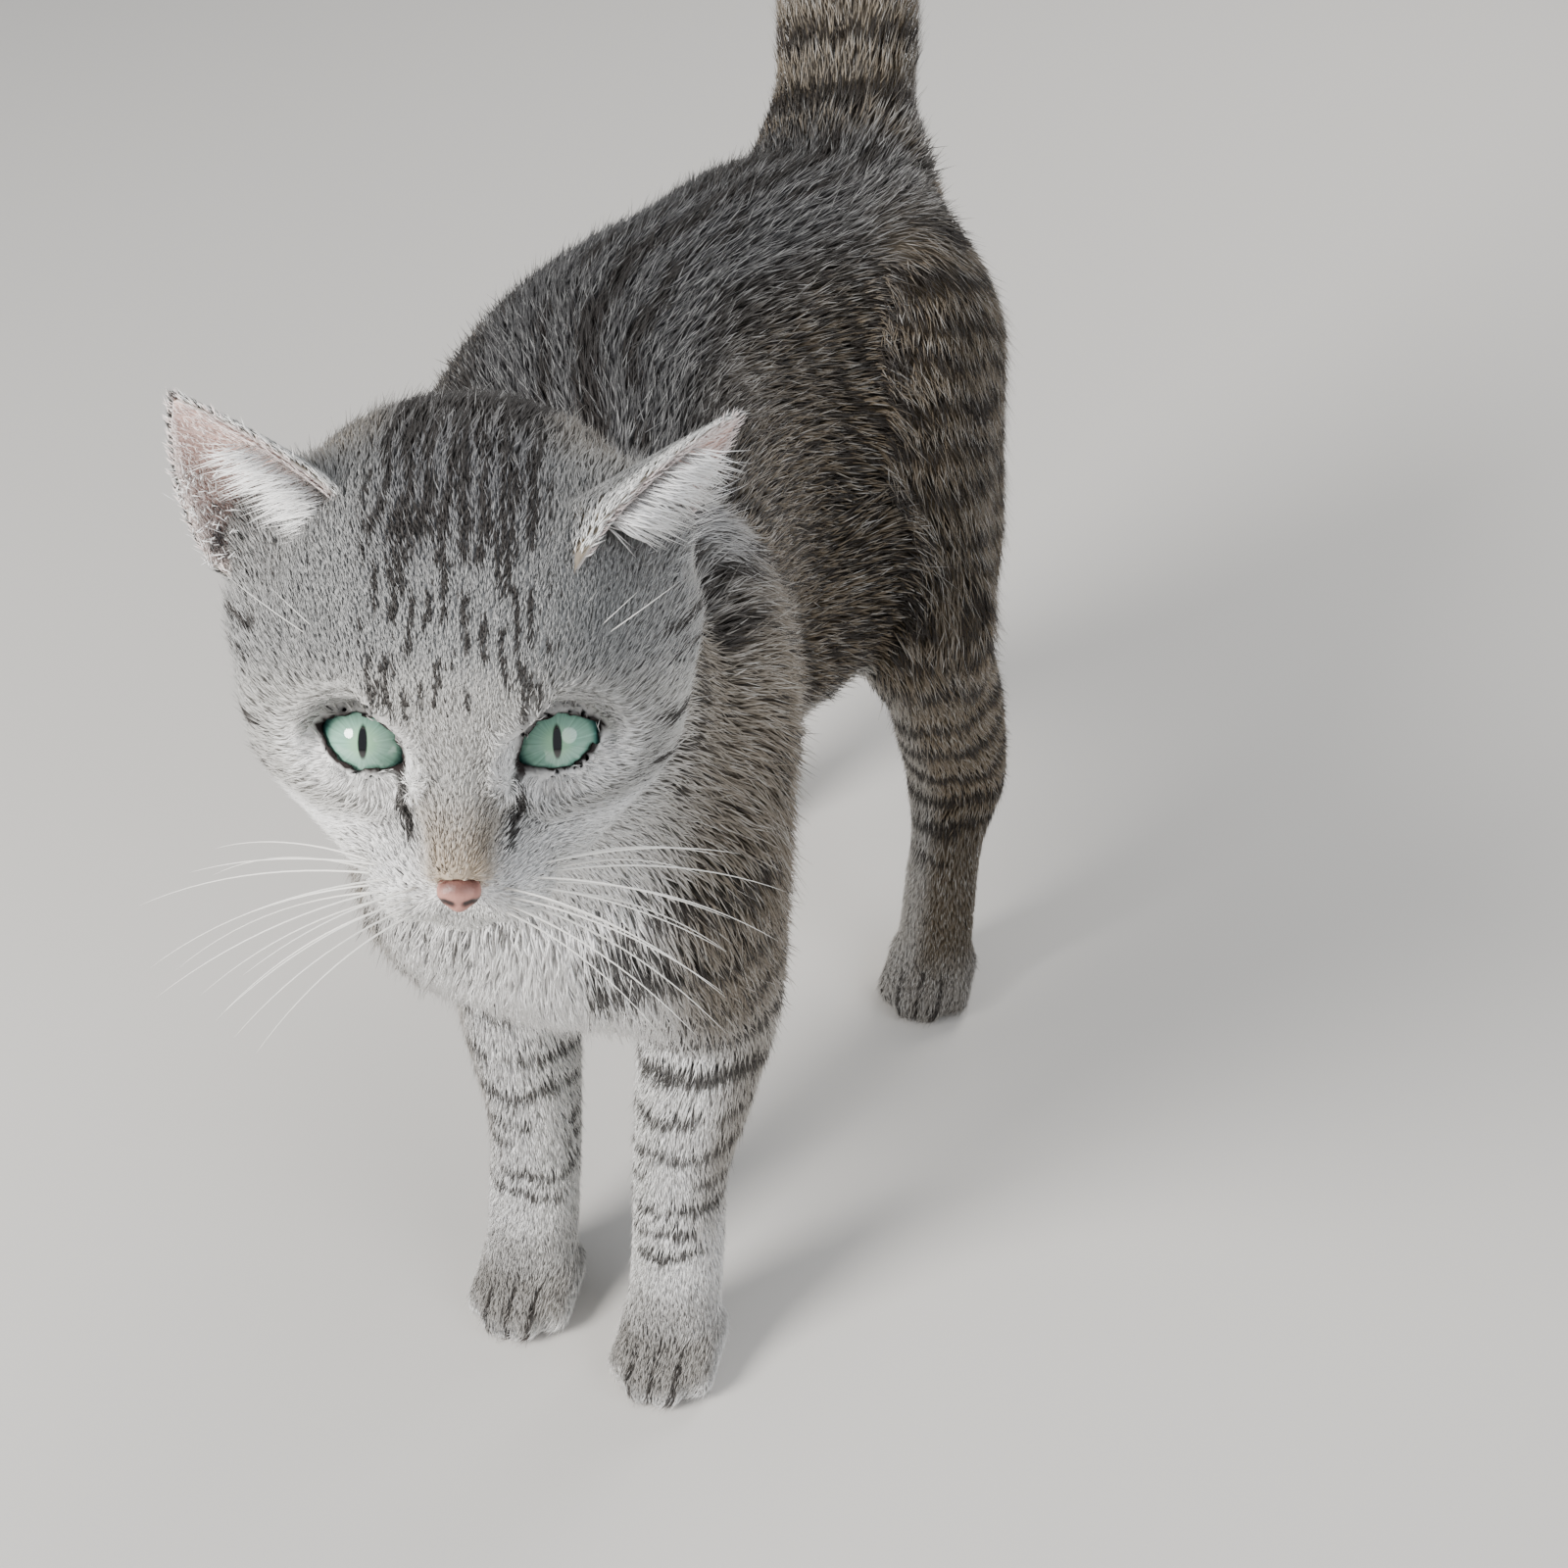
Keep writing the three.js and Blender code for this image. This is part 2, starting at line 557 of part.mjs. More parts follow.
const ground = behind([0, 0, FLOOR], [0, 0, -1]);
const grownHead = solid(skin(flesh.head.low, flesh.head.high, flesh.head.cell, PARTING));
for (const [name, { low, high, cell, without }] of Object.entries(flesh)) {
  let piece = solid(skin(low, high, cell));
  if (regions[name]) piece = piece.intersect(region(name));
  for (const other of without) piece = piece.subtract(region(other, PARTING));
  if (low[2] < FLOOR) piece = piece.intersect(ground);
  if (name === 'head') {
    for (const s of [1, -1]) {
      piece = piece.subtract(solid(eyeball(s, PARTING))).subtract(solid(lidOpening(s)));
    }
    piece = piece.subtract(solid(noseLeather(PARTING)));
  }
  place(name, piece);
}
place('eye_left', solid(eyeball(1)));
place('eye_right', solid(eyeball(-1)));
place('nose', solid(noseLeather()));
for (const [name, shape] of Object.entries(ears)) place(name, solid(earShell(shape)).subtract(grownHead));

const box = new THREE.Box3().setFromObject(cat);
cat.position.set(-(box.min.x + box.max.x) / 2, -(box.min.y + box.max.y) / 2, -box.min.z);

export default cat;
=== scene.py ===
"""A grown tabby cat, standing, life size, in its short coat.

All shapes are worked out in millimetres in the cat's own frame: +X the cat's left, +Y towards
its tail, +Z up, from the floor point midway between the toes of the forepaws.  `shift` moves them
to the shared frame, where everything is in metres.
"""

import math

import bpy
import numpy as np
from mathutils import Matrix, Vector


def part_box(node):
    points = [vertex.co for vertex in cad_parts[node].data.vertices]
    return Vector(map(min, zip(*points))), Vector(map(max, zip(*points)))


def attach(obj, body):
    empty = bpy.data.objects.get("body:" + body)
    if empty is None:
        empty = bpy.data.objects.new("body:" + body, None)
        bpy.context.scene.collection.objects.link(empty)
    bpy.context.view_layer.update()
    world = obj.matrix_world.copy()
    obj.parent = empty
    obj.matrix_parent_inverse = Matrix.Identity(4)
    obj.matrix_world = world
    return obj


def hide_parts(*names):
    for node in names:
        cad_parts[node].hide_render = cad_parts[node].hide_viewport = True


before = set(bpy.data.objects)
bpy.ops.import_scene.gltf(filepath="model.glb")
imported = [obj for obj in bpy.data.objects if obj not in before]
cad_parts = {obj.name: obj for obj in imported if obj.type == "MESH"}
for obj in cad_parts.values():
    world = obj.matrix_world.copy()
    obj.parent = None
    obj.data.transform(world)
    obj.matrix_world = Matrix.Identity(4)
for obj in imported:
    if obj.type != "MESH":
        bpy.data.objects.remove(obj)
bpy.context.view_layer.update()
chance = np.random.default_rng(7)

# ------------------------------------------------------------------ sizes of the head and eyes

HEAD_YAW, HEAD_PITCH, HEAD_ROLL = np.radians([20.0, 4.0, -2.7])
HEAD_ORIGIN = np.array([9.5, -67.4, 287.5])
EYE_LEFT, EYE_BACK, EYE_UP = 19.9, -0.8, -4.2
EYEBALL_RADIUS = 11.0
EYE_OUTWARD, EYE_UPWARD, EYE_SLANT = np.radians([6.0, 27.0, 20.0])
ORBIT_INNER, ORBIT_OUTER = 8.5, 15.0
LID_THICKNESS = 1.2
PUPIL_OUTWARD, PUPIL_UPWARD = np.radians([3.0, 29.0])
LID_HALF_WIDTH = 9.4
UPPER_LID, LOWER_LID = 5.4, 5.0
LID_STEEPNESS = 12.4
LID_REACH = 17.0
NOSE_MIDDLE = (0.0, -36.6, -18.0)
LIP_MIDDLE, LIP_SIDE, LIP_CORNER = (0, -35.5, -28.5), (11, -30, -34), (20, -17, -35)

# left of the middle and toe line of each foot, and the four toes across it
FEET = {
    "foreleg_left": (22.5, -10), "foreleg_right": (-28.5, 2.5),
    "hindleg_left": (58.5, 184), "hindleg_right": (-45, 248),
}
TOE_SPREADS = (-10.2, -3.7, 3.7, 10.2)
TOE_LAG = (6, 0, 0, 6)
CLEFTS = np.array([-7.0, 0.0, 7.0])  # lines between the toes, across each foot


def unit(v):
    """Vectors divided by their lengths."""
    v = np.asarray(v, float)
    return v / np.maximum(np.linalg.norm(v, axis=-1, keepdims=True), 1e-9)


def ramp(low, high, x):
    """0 below low, 1 above high, 3t^2 - 2t^3 between."""
    t = np.clip((x - low) / (high - low), 0, 1)
    return t * t * (3 - 2 * t)


def hump(x, middle, half):
    """1 at the middle, falling smoothly to 0 at middle -+ half."""
    return 1 - ramp(0, half, np.abs(x - middle))


def linear(r, g, b):
    """Screen colour 0..255 to linear light."""
    c = np.array([r, g, b]) / 255.0
    return np.where(c > 0.04045, ((c + 0.055) / 1.055) ** 2.4, c / 12.92)


def head_axes():
    """Left, back and up of the head: yaw about up, then pitch, then roll about forward."""
    forward = np.array(
        [math.sin(HEAD_YAW) * math.cos(HEAD_PITCH), -math.cos(HEAD_YAW) * math.cos(HEAD_PITCH),
         -math.sin(HEAD_PITCH)]
    )
    level = np.array([math.cos(HEAD_YAW), math.sin(HEAD_YAW), 0])
    upright = np.cross(level, -forward)
    left = level * math.cos(HEAD_ROLL) + upright * math.sin(HEAD_ROLL)
    return np.stack([left, -forward, upright * math.cos(HEAD_ROLL) - level * math.sin(HEAD_ROLL)])


HEAD = head_axes()


def head_point(left, back, up):
    """Point of the cat's frame, from left, back and up in the head's."""
    return HEAD_ORIGIN + np.array([left, back, up]) @ HEAD


def head_direction(left, back, up):
    """Direction of the cat's frame, from left, back and up in the head's."""
    return np.array([left, back, up]) @ HEAD


def in_head(p):
    """Left, back and up of points, measured from the head's origin between the eyes."""
    return (p - HEAD_ORIGIN) @ HEAD.T


def folded(h):
    """Points with their left made positive, so that one shape serves both sides."""
    return np.stack([np.abs(h[:, 0]), h[:, 1], h[:, 2]], 1)


eye_low, eye_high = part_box("eye_left")
shift = np.array((eye_low + eye_high) / 2) * 1000 - head_point(EYE_LEFT, EYE_BACK, EYE_UP)

# ------------------------------------------------------------------ the body as one smooth field

chains = []


def smooth_stations(stations, steps):
    """Catmull-Rom curve through rows of numbers."""
    s = np.asarray(stations, float)
    if len(s) == 2:
        return s
    run = np.concatenate([[2 * s[0] - s[1]], s, [2 * s[-1] - s[-2]]])
    out = []
    t = (np.arange(steps) / steps)[:, None]
    for a, b, c, d in zip(run, run[1:], run[2:], run[3:]):
        bend, twist = 2 * a - 5 * b + 4 * c - d, 3 * b - a - 3 * c + d
        out.append(0.5 * (2 * b + (c - a) * t + bend * t**2 + twist * t**3))
    out.append(s[-1:])
    return np.concatenate(out)


def chain(name, stations, side=(1, 0, 0), blend=12.0, steps=4):
    """A tube of elliptical stations: x, y, z, half width along side and half depth."""
    run = smooth_stations(stations, steps)
    chains.append({"name": name, "run": run, "side": unit(side), "blend": blend})


def head_chain(stations, blend, name="head"):
    """A tube whose stations are given as left, back and up in the head's frame."""
    chain(name, [(*head_point(*s[:3]), s[3], s[4]) for s in stations], HEAD[0], blend)


def head_pair(stations, blend):
    """The same tube on both sides of the head."""
    for s in (1, -1):
        head_chain([(s * row[0], *row[1:]) for row in stations], blend)


def toes(name, knuckle, width, depth, tip):
    """Four short tubes from the knuckles to the toe tips, at the heights knuckle and tip."""
    x, toe = FEET[name]
    for spread, lag in zip(TOE_SPREADS, TOE_LAG):
        y = toe + lag
        chain(name, [(x + spread * 0.9, y + 22, knuckle, width, depth),
                     (x + spread, y + 8, tip, 7.2, tip + 1.4)],
              blend=4)


def foreleg(name, s, spread):
    """Shoulder, elbow, wrist and toes; spread moves the shoulder sideways."""
    x, toe = FEET[name]
    chain(name, [(s * 18 + 1, 58, 246, 16, 26), (s * 30 + 2 + spread, 18, 200, 23, 32),
                 (s * 33 + spread, 24, 165, 22, 32), (x + s * 8, toe + 46, 132, 21.5, 25),
                 (x + s * 4, toe + 42, 100, 18.5, 20), (x, toe + 37, 68, 15, 16),
                 (x, toe + 33, 42, 14.5, 14.5), (x, toe + 25, 12.5, 15, 14)], blend=22)
    toes(name, 11.5, 7.5, 10.5, 6.6)


def between(a, b, t):
    """The point a share t of the way from a to b."""
    return [p + (q - p) * t for p, q in zip(a, b)]


def hind_leg(name, hip, knee, hock):
    """Thigh, shank with its foot, and the muscle behind the thigh down to the hock."""
    x, toe = FEET[name]
    chain(name, [(*hip, 27, 50), (*between(hip, knee, 0.55), 26, 46), (*knee, 20, 28)], blend=26)
    chain(name, [(*knee, 20, 28), (*between(knee, hock, 0.5), 17.5, 24), (*hock, 13.5, 16),
                 (x, toe + 38, 45, 13.5, 13.5), (x, toe + 28, 11.5, 14, 13)], blend=18)
    chain(name, [(hip[0], hip[1] + 24, hip[2] - 14, 24, 34),
                 (between(hip, hock, 0.5)[0], hip[1] + 6, hip[2] - 70, 20, 30),
                 (*between(hip, hock, 0.72), 15, 20), (*hock, 11, 12)], blend=26)
    toes(name, 11, 7.2, 10, 6.4)


chain("trunk", [(3, 14, 196, 42, 44), (-2, 50, 199, 51, 67), (-18, 92, 206, 57, 71),
                (-38, 140, 212, 61, 70), (-43, 190, 219, 58, 65), (-28, 240, 227, 54, 58),
                (-8, 290, 234, 50, 49), (-9, 322, 242, 37, 38)], blend=30, steps=6)
chain("flank", [(-12, 120, 178, 34, 34), (12, 168, 172, 30, 30), (26, 196, 178, 24, 30)], blend=26)
chain("flank", [(-8, 140, 214, 26, 32), (-3, 185, 211, 26, 30), (12, 215, 205, 26, 30)], blend=20)
chain("neck", [(*head_point(0, 47, 0), 43, 41), (-1, 4, 243, 47, 46), (0, 38, 227, 48, 50)], HEAD[0], 26)
chain("throat", [(*head_point(0, 20, -26), 27, 26), (1, -8, 224, 40, 30), (-1, 0, 192, 46, 34),
                 (-1, 20, 166, 38, 32)], (1, 0.2, 0), 24)
chain("tail", [(-10, 318, 256, 26, 26), (-15, 350, 290, 27, 28), (-19, 364, 335, 26.5, 26.5),
               (-20, 368, 385, 24, 24), (-18, 364, 440, 21.5, 21.5), (-15, 352, 495, 19, 19),
               (-13, 334, 540, 15, 15)], blend=26)
foreleg("foreleg_left", 1, 0)
foreleg("foreleg_right", -1, -5)
hind_leg("hindleg_left", (28, 280, 222), (52, 205, 160), (58, 240, 78))
hind_leg("hindleg_right", (-34, 288, 226), (-50, 228, 156), (-47, 300, 78))
head_chain([(0, 14, 10, 43, 36), (0, 38, 10, 45, 39)], 16)
head_chain([(0, -1, 16, 25, 20), (0, 15, 22, 36, 27)], 14)
head_chain([(0, -5, 8, 12, 13), (0, -20, -3, 9, 10), (0, -32, -14, 6.5, 7)], 8)
head_chain([(0, -32, -15, 6, 6), (0, -34.5, -18, 5, 4.5)], 3)
head_chain([(0, 0, -20, 25, 18), (0, -16, -23, 18, 13)], 8)
head_pair([(8, -20, -25, 10, 9.5), (10.5, -23, -26, 10, 9)], 4)
head_chain([(0, -21, -34, 8, 7), (0, -8, -33, 14, 11)], 6, "chin")
head_pair([(15.5, -4, -27, 13, 11.5), (29.5, 20, -17, 19, 20)], 10)
head_pair([(28.5, 11, -2, 18.5, 20), (32, 32, 2, 22, 25)], 12)
head_pair([(22, 0, -12, 13.5, 11.5), (25, 8, -11, 15.5, 14.5)], 8)
head_pair([(17, 3, 15, 11, 10), (22, 12, 16, 18, 17)], 8)
head_pair([(28, 24, 14, 17, 16), (35, 32, 28, 16, 12)], 10)


def measure(p, one, places=False):
    """Distance to a chain's elliptical tube: k0 (k0 - 1) / k1 at the nearest point of its middle line.

    With places, also the length along the middle line, the angle round it and its direction.
    """
    run = one["run"].astype(p.dtype)
    best = np.full(len(p), 1e18, p.dtype)
    out = np.zeros(len(p), p.dtype)
    along = np.zeros(len(p), p.dtype)
    angle = np.zeros(len(p), p.dtype)
    heading = np.zeros((len(p), 3), p.dtype)
    walked = 0.0
    for a, b in zip(run, run[1:]):
        axis = b[:3] - a[:3]
        length = math.sqrt(float(axis @ axis))
        tangent = axis / length
        side = unit(one["side"] - tangent * (one["side"] @ tangent)).astype(p.dtype)
        depth = np.cross(tangent, side)
        q = p - a[:3]
        t = np.clip((q @ axis) / length**2, 0, 1)
        q -= t[:, None] * axis
        gap = np.einsum("ij,ij->i", q, q)
        half = a[3] + (b[3] - a[3]) * t
        deep = a[4] + (b[4] - a[4]) * t
        v = q @ side / half
        w = q @ depth / deep
        u = q @ tangent / ((half + deep) * 0.5)
        k0 = np.sqrt(v * v + w * w + u * u)
        k1 = np.sqrt((v / half) ** 2 + (w / deep) ** 2 + (u / (half + deep) * 2) ** 2) + 1e-9
        d = k0 * (k0 - 1) / k1
        d = np.where(k0 < 0.2, np.maximum(d, -np.minimum(half, deep)), d)
        near = gap < best
        best = np.where(near, gap, best)
        out = np.where(near, d, out)
        if places:
            along = np.where(near, walked + t * length, along)
            angle = np.where(near, np.arctan2(q @ side, q @ depth), angle)
            heading = np.where(near[:, None], tangent, heading)
        walked += length
    return (out, along, angle, heading) if places else out


def body_field(p):
    """All chains melted together: min(a, b) - h^2 blend / 4 with h = 1 - |a - b| / blend."""
    total = np.full(len(p), 60.0, p.dtype)
    for one in chains:
        reach = one["run"][:, 3:].max() + one["blend"] + 22
        low = one["run"][:, :3].min(0) - reach
        high = one["run"][:, :3].max(0) + reach
        near = np.flatnonzero(((p > low) & (p < high)).all(1))
        if len(near) == 0:
            continue
        d = measure(p[near], one)
        t = total[near]
        h = np.maximum(one["blend"] - np.abs(t - d), 0) / one["blend"]
        total[near] = np.minimum(t, d) - h * h * one["blend"] * 0.25
    return total


# ------------------------------------------------------------------ the skin under the coat


def coat_depth(p):
    """How far the skin lies under the coat's tips: 1 on the nose, 2 on the paws, 6.6 on the trunk."""
    h = in_head(p)
    body = 1.8 + 1.2 * ramp(28, 80, p[:, 2]) + 3.6 * ramp(80, 190, p[:, 2])
    face = 1.0 + 1.0 * ramp(-34, -12, h[:, 1]) + 3.8 * ramp(-8, 55, h[:, 1]) - 1.2 * ramp(5, 35, h[:, 2])
    away = ramp(58, 92, np.linalg.norm(h - (0, 16, 0), axis=1))
    return face + (body - face) * away


def eye_frame(s):
    """Centre, gaze, the way to the outer corner and the way up, of the eye on side s."""
    centre = head_point(s * EYE_LEFT, EYE_BACK, EYE_UP)
    gaze = unit(head_direction(s * math.sin(EYE_OUTWARD), -math.cos(EYE_OUTWARD), math.tan(EYE_UPWARD)))
    across = unit(HEAD[0] - gaze * (HEAD[0] @ gaze)) * s
    rise = unit(HEAD[2] - gaze * (HEAD[2] @ gaze))
    out = across * math.cos(EYE_SLANT) + rise * math.sin(EYE_SLANT)
    return centre, gaze, out, np.cross(out, gaze) * (-s)


EYES = {s: eye_frame(s) for s in (1, -1)}


def lid_edge(p, s):
    """Distance outside the almond gap of the lids, across the gaze: max of two parabolas.

    upper = U (1 - (x / W)^2), lower = -L (1 - (x / W)^2), and the inner corner sinks a little.
    """
    centre, gaze, out, up = EYES[s]
    q = p - centre
    x = q @ out
    sink = 1.6 * ramp(4.5, 11, -x)
    y = q @ up + sink
    bow = 1 - (x / LID_HALF_WIDTH) ** 2
    within = np.clip(x, -LID_HALF_WIDTH, LID_HALF_WIDTH)
    slope = np.sqrt(1 + (LID_STEEPNESS * within / LID_HALF_WIDTH**2) ** 2)
    return np.maximum(y - UPPER_LID * bow, -y - LOWER_LID * bow) / slope


def smooth_min(a, b, k):
    """min(a, b) - h^2 k / 4 with h = 1 - |a - b| / k."""
    h = np.maximum(k - np.abs(a - b), 0) / k
    return np.minimum(a, b) - h * h * k * 0.25


def smooth_max(a, b, k):
    """The same the other way up."""
    return -smooth_min(-a, -b, k)


def rod(h, a, b, radius):
    """Distance to a round-ended rod between a and b."""
    a, b = np.asarray(a, float), np.asarray(b, float)
    t = np.clip((h - a) @ (b - a) / ((b - a) @ (b - a)), 0, 1)
    return np.linalg.norm(h - a - t[:, None] * (b - a), axis=1) - radius


def skin_field(p):
    """The body's field sunk by the coat's depth, with lids, eye sockets, mouth line and toe gaps."""
    f = body_field(p) + coat_depth(p)
    h = in_head(p)
    face = np.flatnonzero((np.abs(h[:, ::2]) < 46).all(1) & (h[:, 1] > -46) & (h[:, 1] < 20))
    if len(face):
        q, g, k = p[face], h[face], f[face]
        for s in (1, -1):
            centre, gaze, _, _ = EYES[s]
            r = np.linalg.norm(q - centre, axis=1)
            gap = lid_edge(q, s)
            ahead = (q - centre) @ gaze
            off = np.sqrt(np.maximum(r * r - ahead * ahead, 0))
            share = ramp(ORBIT_OUTER, ORBIT_INNER, off) * ramp(0, 5, ahead) * (r < 30)
            k = k + (r - EYEBALL_RADIUS - LID_THICKNESS - k) * share
            k = smooth_max(k, EYEBALL_RADIUS + 0.15 - r, 0.4)
            k = np.where(ahead > 0, smooth_max(k, -gap, 0.9), k)
        half = folded(g)
        k = smooth_max(k, -rod(half, (0, -37, -21), (0, -36, -27.5), 0.7), 0.8)
        k = smooth_max(k, -rod(half, LIP_MIDDLE, LIP_SIDE, 0.9), 1.2)
        k = smooth_max(k, -rod(half, LIP_SIDE, LIP_CORNER, 0.7), 1.4)
        k = smooth_max(k, 0.4 - nose_field(g), 0.8)
        f[face] = k
    return np.maximum(f, 1.0 - p[:, 2])


def nose_field(h):
    """The leather pad at the end of the nose with its wings and comma-shaped nostrils."""
    side = folded(h - NOSE_MIDDLE)

    def ball(centre, radii):
        """Distance to an ellipsoid: k0 (k0 - 1) / k1."""
        r = np.asarray(radii, float)
        k0 = np.linalg.norm((side - centre) / r, axis=1)
        return k0 * (k0 - 1) / (np.linalg.norm((side - centre) / r**2, axis=1) + 1e-9)

    d = ball((0, 0.2, 0.6), (3.8, 3.5, 3.2))
    d = smooth_min(d, ball((2.6, 0.2, 0.0), (2.0, 2.8, 2.5)), 1.4)
    d = smooth_min(d, ball((0, 0.2, -2.4), (2.4, 3.2, 2.0)), 1.6)
    d = smooth_max(d, -rod(side, (1.6, -3.3, -0.9), (2.8, -3.0, -0.5), 0.65), 0.6)
    d = smooth_max(d, -rod(side, (2.8, -3.0, -0.5), (4.4, -1.4, -1.3), 0.5), 0.6)
    return smooth_max(d, -rod(side, (0, -4.2, 0.4), (0, -4.0, -5.5), 0.5), 0.7)


def slope_of(field, p, step=0.15):
    """Slope of the field from four points at the corners of a small tetrahedron."""
    corners = np.array([(1, -1, -1), (-1, 1, -1), (-1, -1, 1), (1, 1, 1)], float)
    total = np.zeros_like(p)
    for c in corners:
        total += c * field(p + c * step)[:, None]
    return total / (4 * step)


def settle(field, p, passes=3, most=2.0):
    """Moves points onto the field's zero level along its slope."""
    for _ in range(passes):
        f = field(p)
        g = slope_of(field, p)
        move = f[:, None] * g / np.maximum((g * g).sum(1), 0.3)[:, None]
        size = np.linalg.norm(move, axis=1, keepdims=True)
        p = p - move * np.minimum(1, most / np.maximum(size, 1e-9))
    return p


def net(field, axes, level_band):
    """Closed net of quads round field < 0: one corner in each crossed cell of the grid of axes.

    Only grid points near the surface are measured exactly; the rest come from a coarser grid.
    """
    rough = [np.unique(np.concatenate([a[::3], a[-1:]])) for a in axes]
    points = np.stack(np.meshgrid(*rough, indexing="ij"), -1).reshape(-1, 3)
    value = field(points).reshape([len(a) for a in rough])
    for n in range(3):
        place = np.interp(axes[n], rough[n], np.arange(len(rough[n])))
        base = np.minimum(place.astype(int), len(rough[n]) - 2)
        part = (place - base).reshape([-1 if m == n else 1 for m in range(3)])
        value = np.take(value, base, n) * (1 - part) + np.take(value, base + 1, n) * part
    close = np.argwhere(np.abs(value) < level_band)
    value[tuple(close.T)] = field(np.stack([axes[n][close[:, n]] for n in range(3)], 1))
    inside = value < 0
    cells = np.array(value.shape) - 1
    corners = [(i, j, k) for i in (0, 1) for j in (0, 1) for k in (0, 1)]
    count = sum(
        inside[i:i + cells[0], j:j + cells[1], k:k + cells[2]].astype(np.int8) for i, j, k in corners)
    cell = np.argwhere((count > 0) & (count < 8))
    index = np.full(cells, -1, np.int64)
    index[tuple(cell.T)] = np.arange(len(cell))
    total = np.zeros((len(cell), 3))
    crossings = np.zeros(len(cell))
    for n in range(3):
        others = [m for m in range(3) if m != n]
        for p in (0, 1):
            for q in (0, 1):
                start = cell.copy()
                start[:, others[0]] += p
                start[:, others[1]] += q
                end = start.copy()
                end[:, n] += 1
                a = value[tuple(start.T)]
                b = value[tuple(end.T)]
                crossed = (a < 0) != (b < 0)
                t = np.where(crossed, a / np.where(crossed, a - b, 1), 0)
                place = np.stack([axes[m][start[:, m]] for m in range(3)], 1)
                place[:, n] += t * (axes[n][end[:, n]] - axes[n][start[:, n]])
                total += place * crossed[:, None]
                crossings += crossed
    quads = []
    for n in range(3):
        one, two = np.zeros(3, int), np.zeros(3, int)
        one[(n + 1) % 3] = 1
        two[(n + 2) % 3] = 1
        a = inside.take(range(cells[n]), n)
        b = inside.take(range(1, cells[n] + 1), n)
        edge = np.argwhere(a != b)
        for m in ((n + 1) % 3, (n + 2) % 3):
            edge = edge[(edge[:, m] > 0) & (edge[:, m] < cells[m])]
        ring = np.stack([index[tuple((edge - o).T)] for o in (one + two, two, 0 * one, one)], 1)
        back = ~a[tuple(edge.T)]
        ring[back] = ring[back][:, ::-1]
        quads.append(ring)
    return total / crossings[:, None], np.concatenate(quads)


def grid_quads(rows, columns):
    """Quads of a grid of corners, rows of faces by columns of corners, closed round each row."""
    i, j = np.meshgrid(np.arange(rows), np.arange(columns), indexing="ij")
    a = i * columns + j
    b = i * columns + (j + 1) % columns
    return np.stack([a, b, b + columns, a + columns], -1).reshape(-1, 4)


# the same four corners the other way round, from the same first one
FLIPPED = [0, 3, 2, 1]


def halves(quads):
    """Two triangles for each quad."""
    return np.concatenate([quads[:, [0, 1, 2]], quads[:, [0, 2, 3]]])


def joined(parts):
    """One net of several: corners laid end to end, and faces counted on."""
    starts = np.cumsum([0] + [len(points) for points, _ in parts])
    faces = [faces + start for (_, faces), start in zip(parts, starts)]
    return np.concatenate([points for points, _ in parts]), np.concatenate(faces)


def spaced(*parts):
    """Axis values from (start, end, step) runs laid end to end."""
    out = [np.linspace(a, b, max(int(round((b - a) / s)), 1), endpoint=False) for a, b, s in parts]
    return np.concatenate([*out, [parts[-1][1]]])


def normals_of(points, quads):
    """Mean of the faces' cross products at each corner."""
    face = np.cross(points[quads[:, 2]] - points[quads[:, 0]], points[quads[:, 3]] - points[quads[:, 1]])
    out = np.zeros_like(points)
    for n in range(4):
        np.add.at(out, quads[:, n], face)
    return unit(out)


skin_axes = [
    spaced((-110, -58, 3.4), (-58, -24, 2.2), (-24, 42, 1.15), (42, 58, 2.2), (58, 82, 3.2)),
    spaced((-112, -100, 1.3), (-100, -58, 1.1), (-58, -30, 2.0), (-30, 16, 1.9), (16, 176, 3.6),
           (176, 212, 2.2), (212, 244, 3.2), (244, 276, 2.2), (276, 400, 3.6)),
    spaced((-3, 26, 1.7), (26, 232, 3.8), (232, 266, 1.4), (266, 304, 1.05), (304, 344, 2.2),
           (344, 560, 4.2)),
]
skin_points, skin_quads = net(skin_field, skin_axes, 7.0)
skin_points = settle(skin_field, skin_points)
skin_normals = normals_of(skin_points, skin_quads)
print("skin", len(skin_points), "corners", len(skin_quads), "quads")

# ------------------------------------------------------------------ ears

EARS = {
    1: {"base": (33, 14, 29.5), "tip": (60, 45, 48), "opening": (0.66, -0.60, -0.22)},
    -1: {"base": (-37, 25, 27), "tip": (-57, 23, 64), "opening": (-0.2, -0.97, -0.15)},
}
EAR_WIDTH = 39.0
EAR_ROWS, EAR_COLUMNS = 40, 28


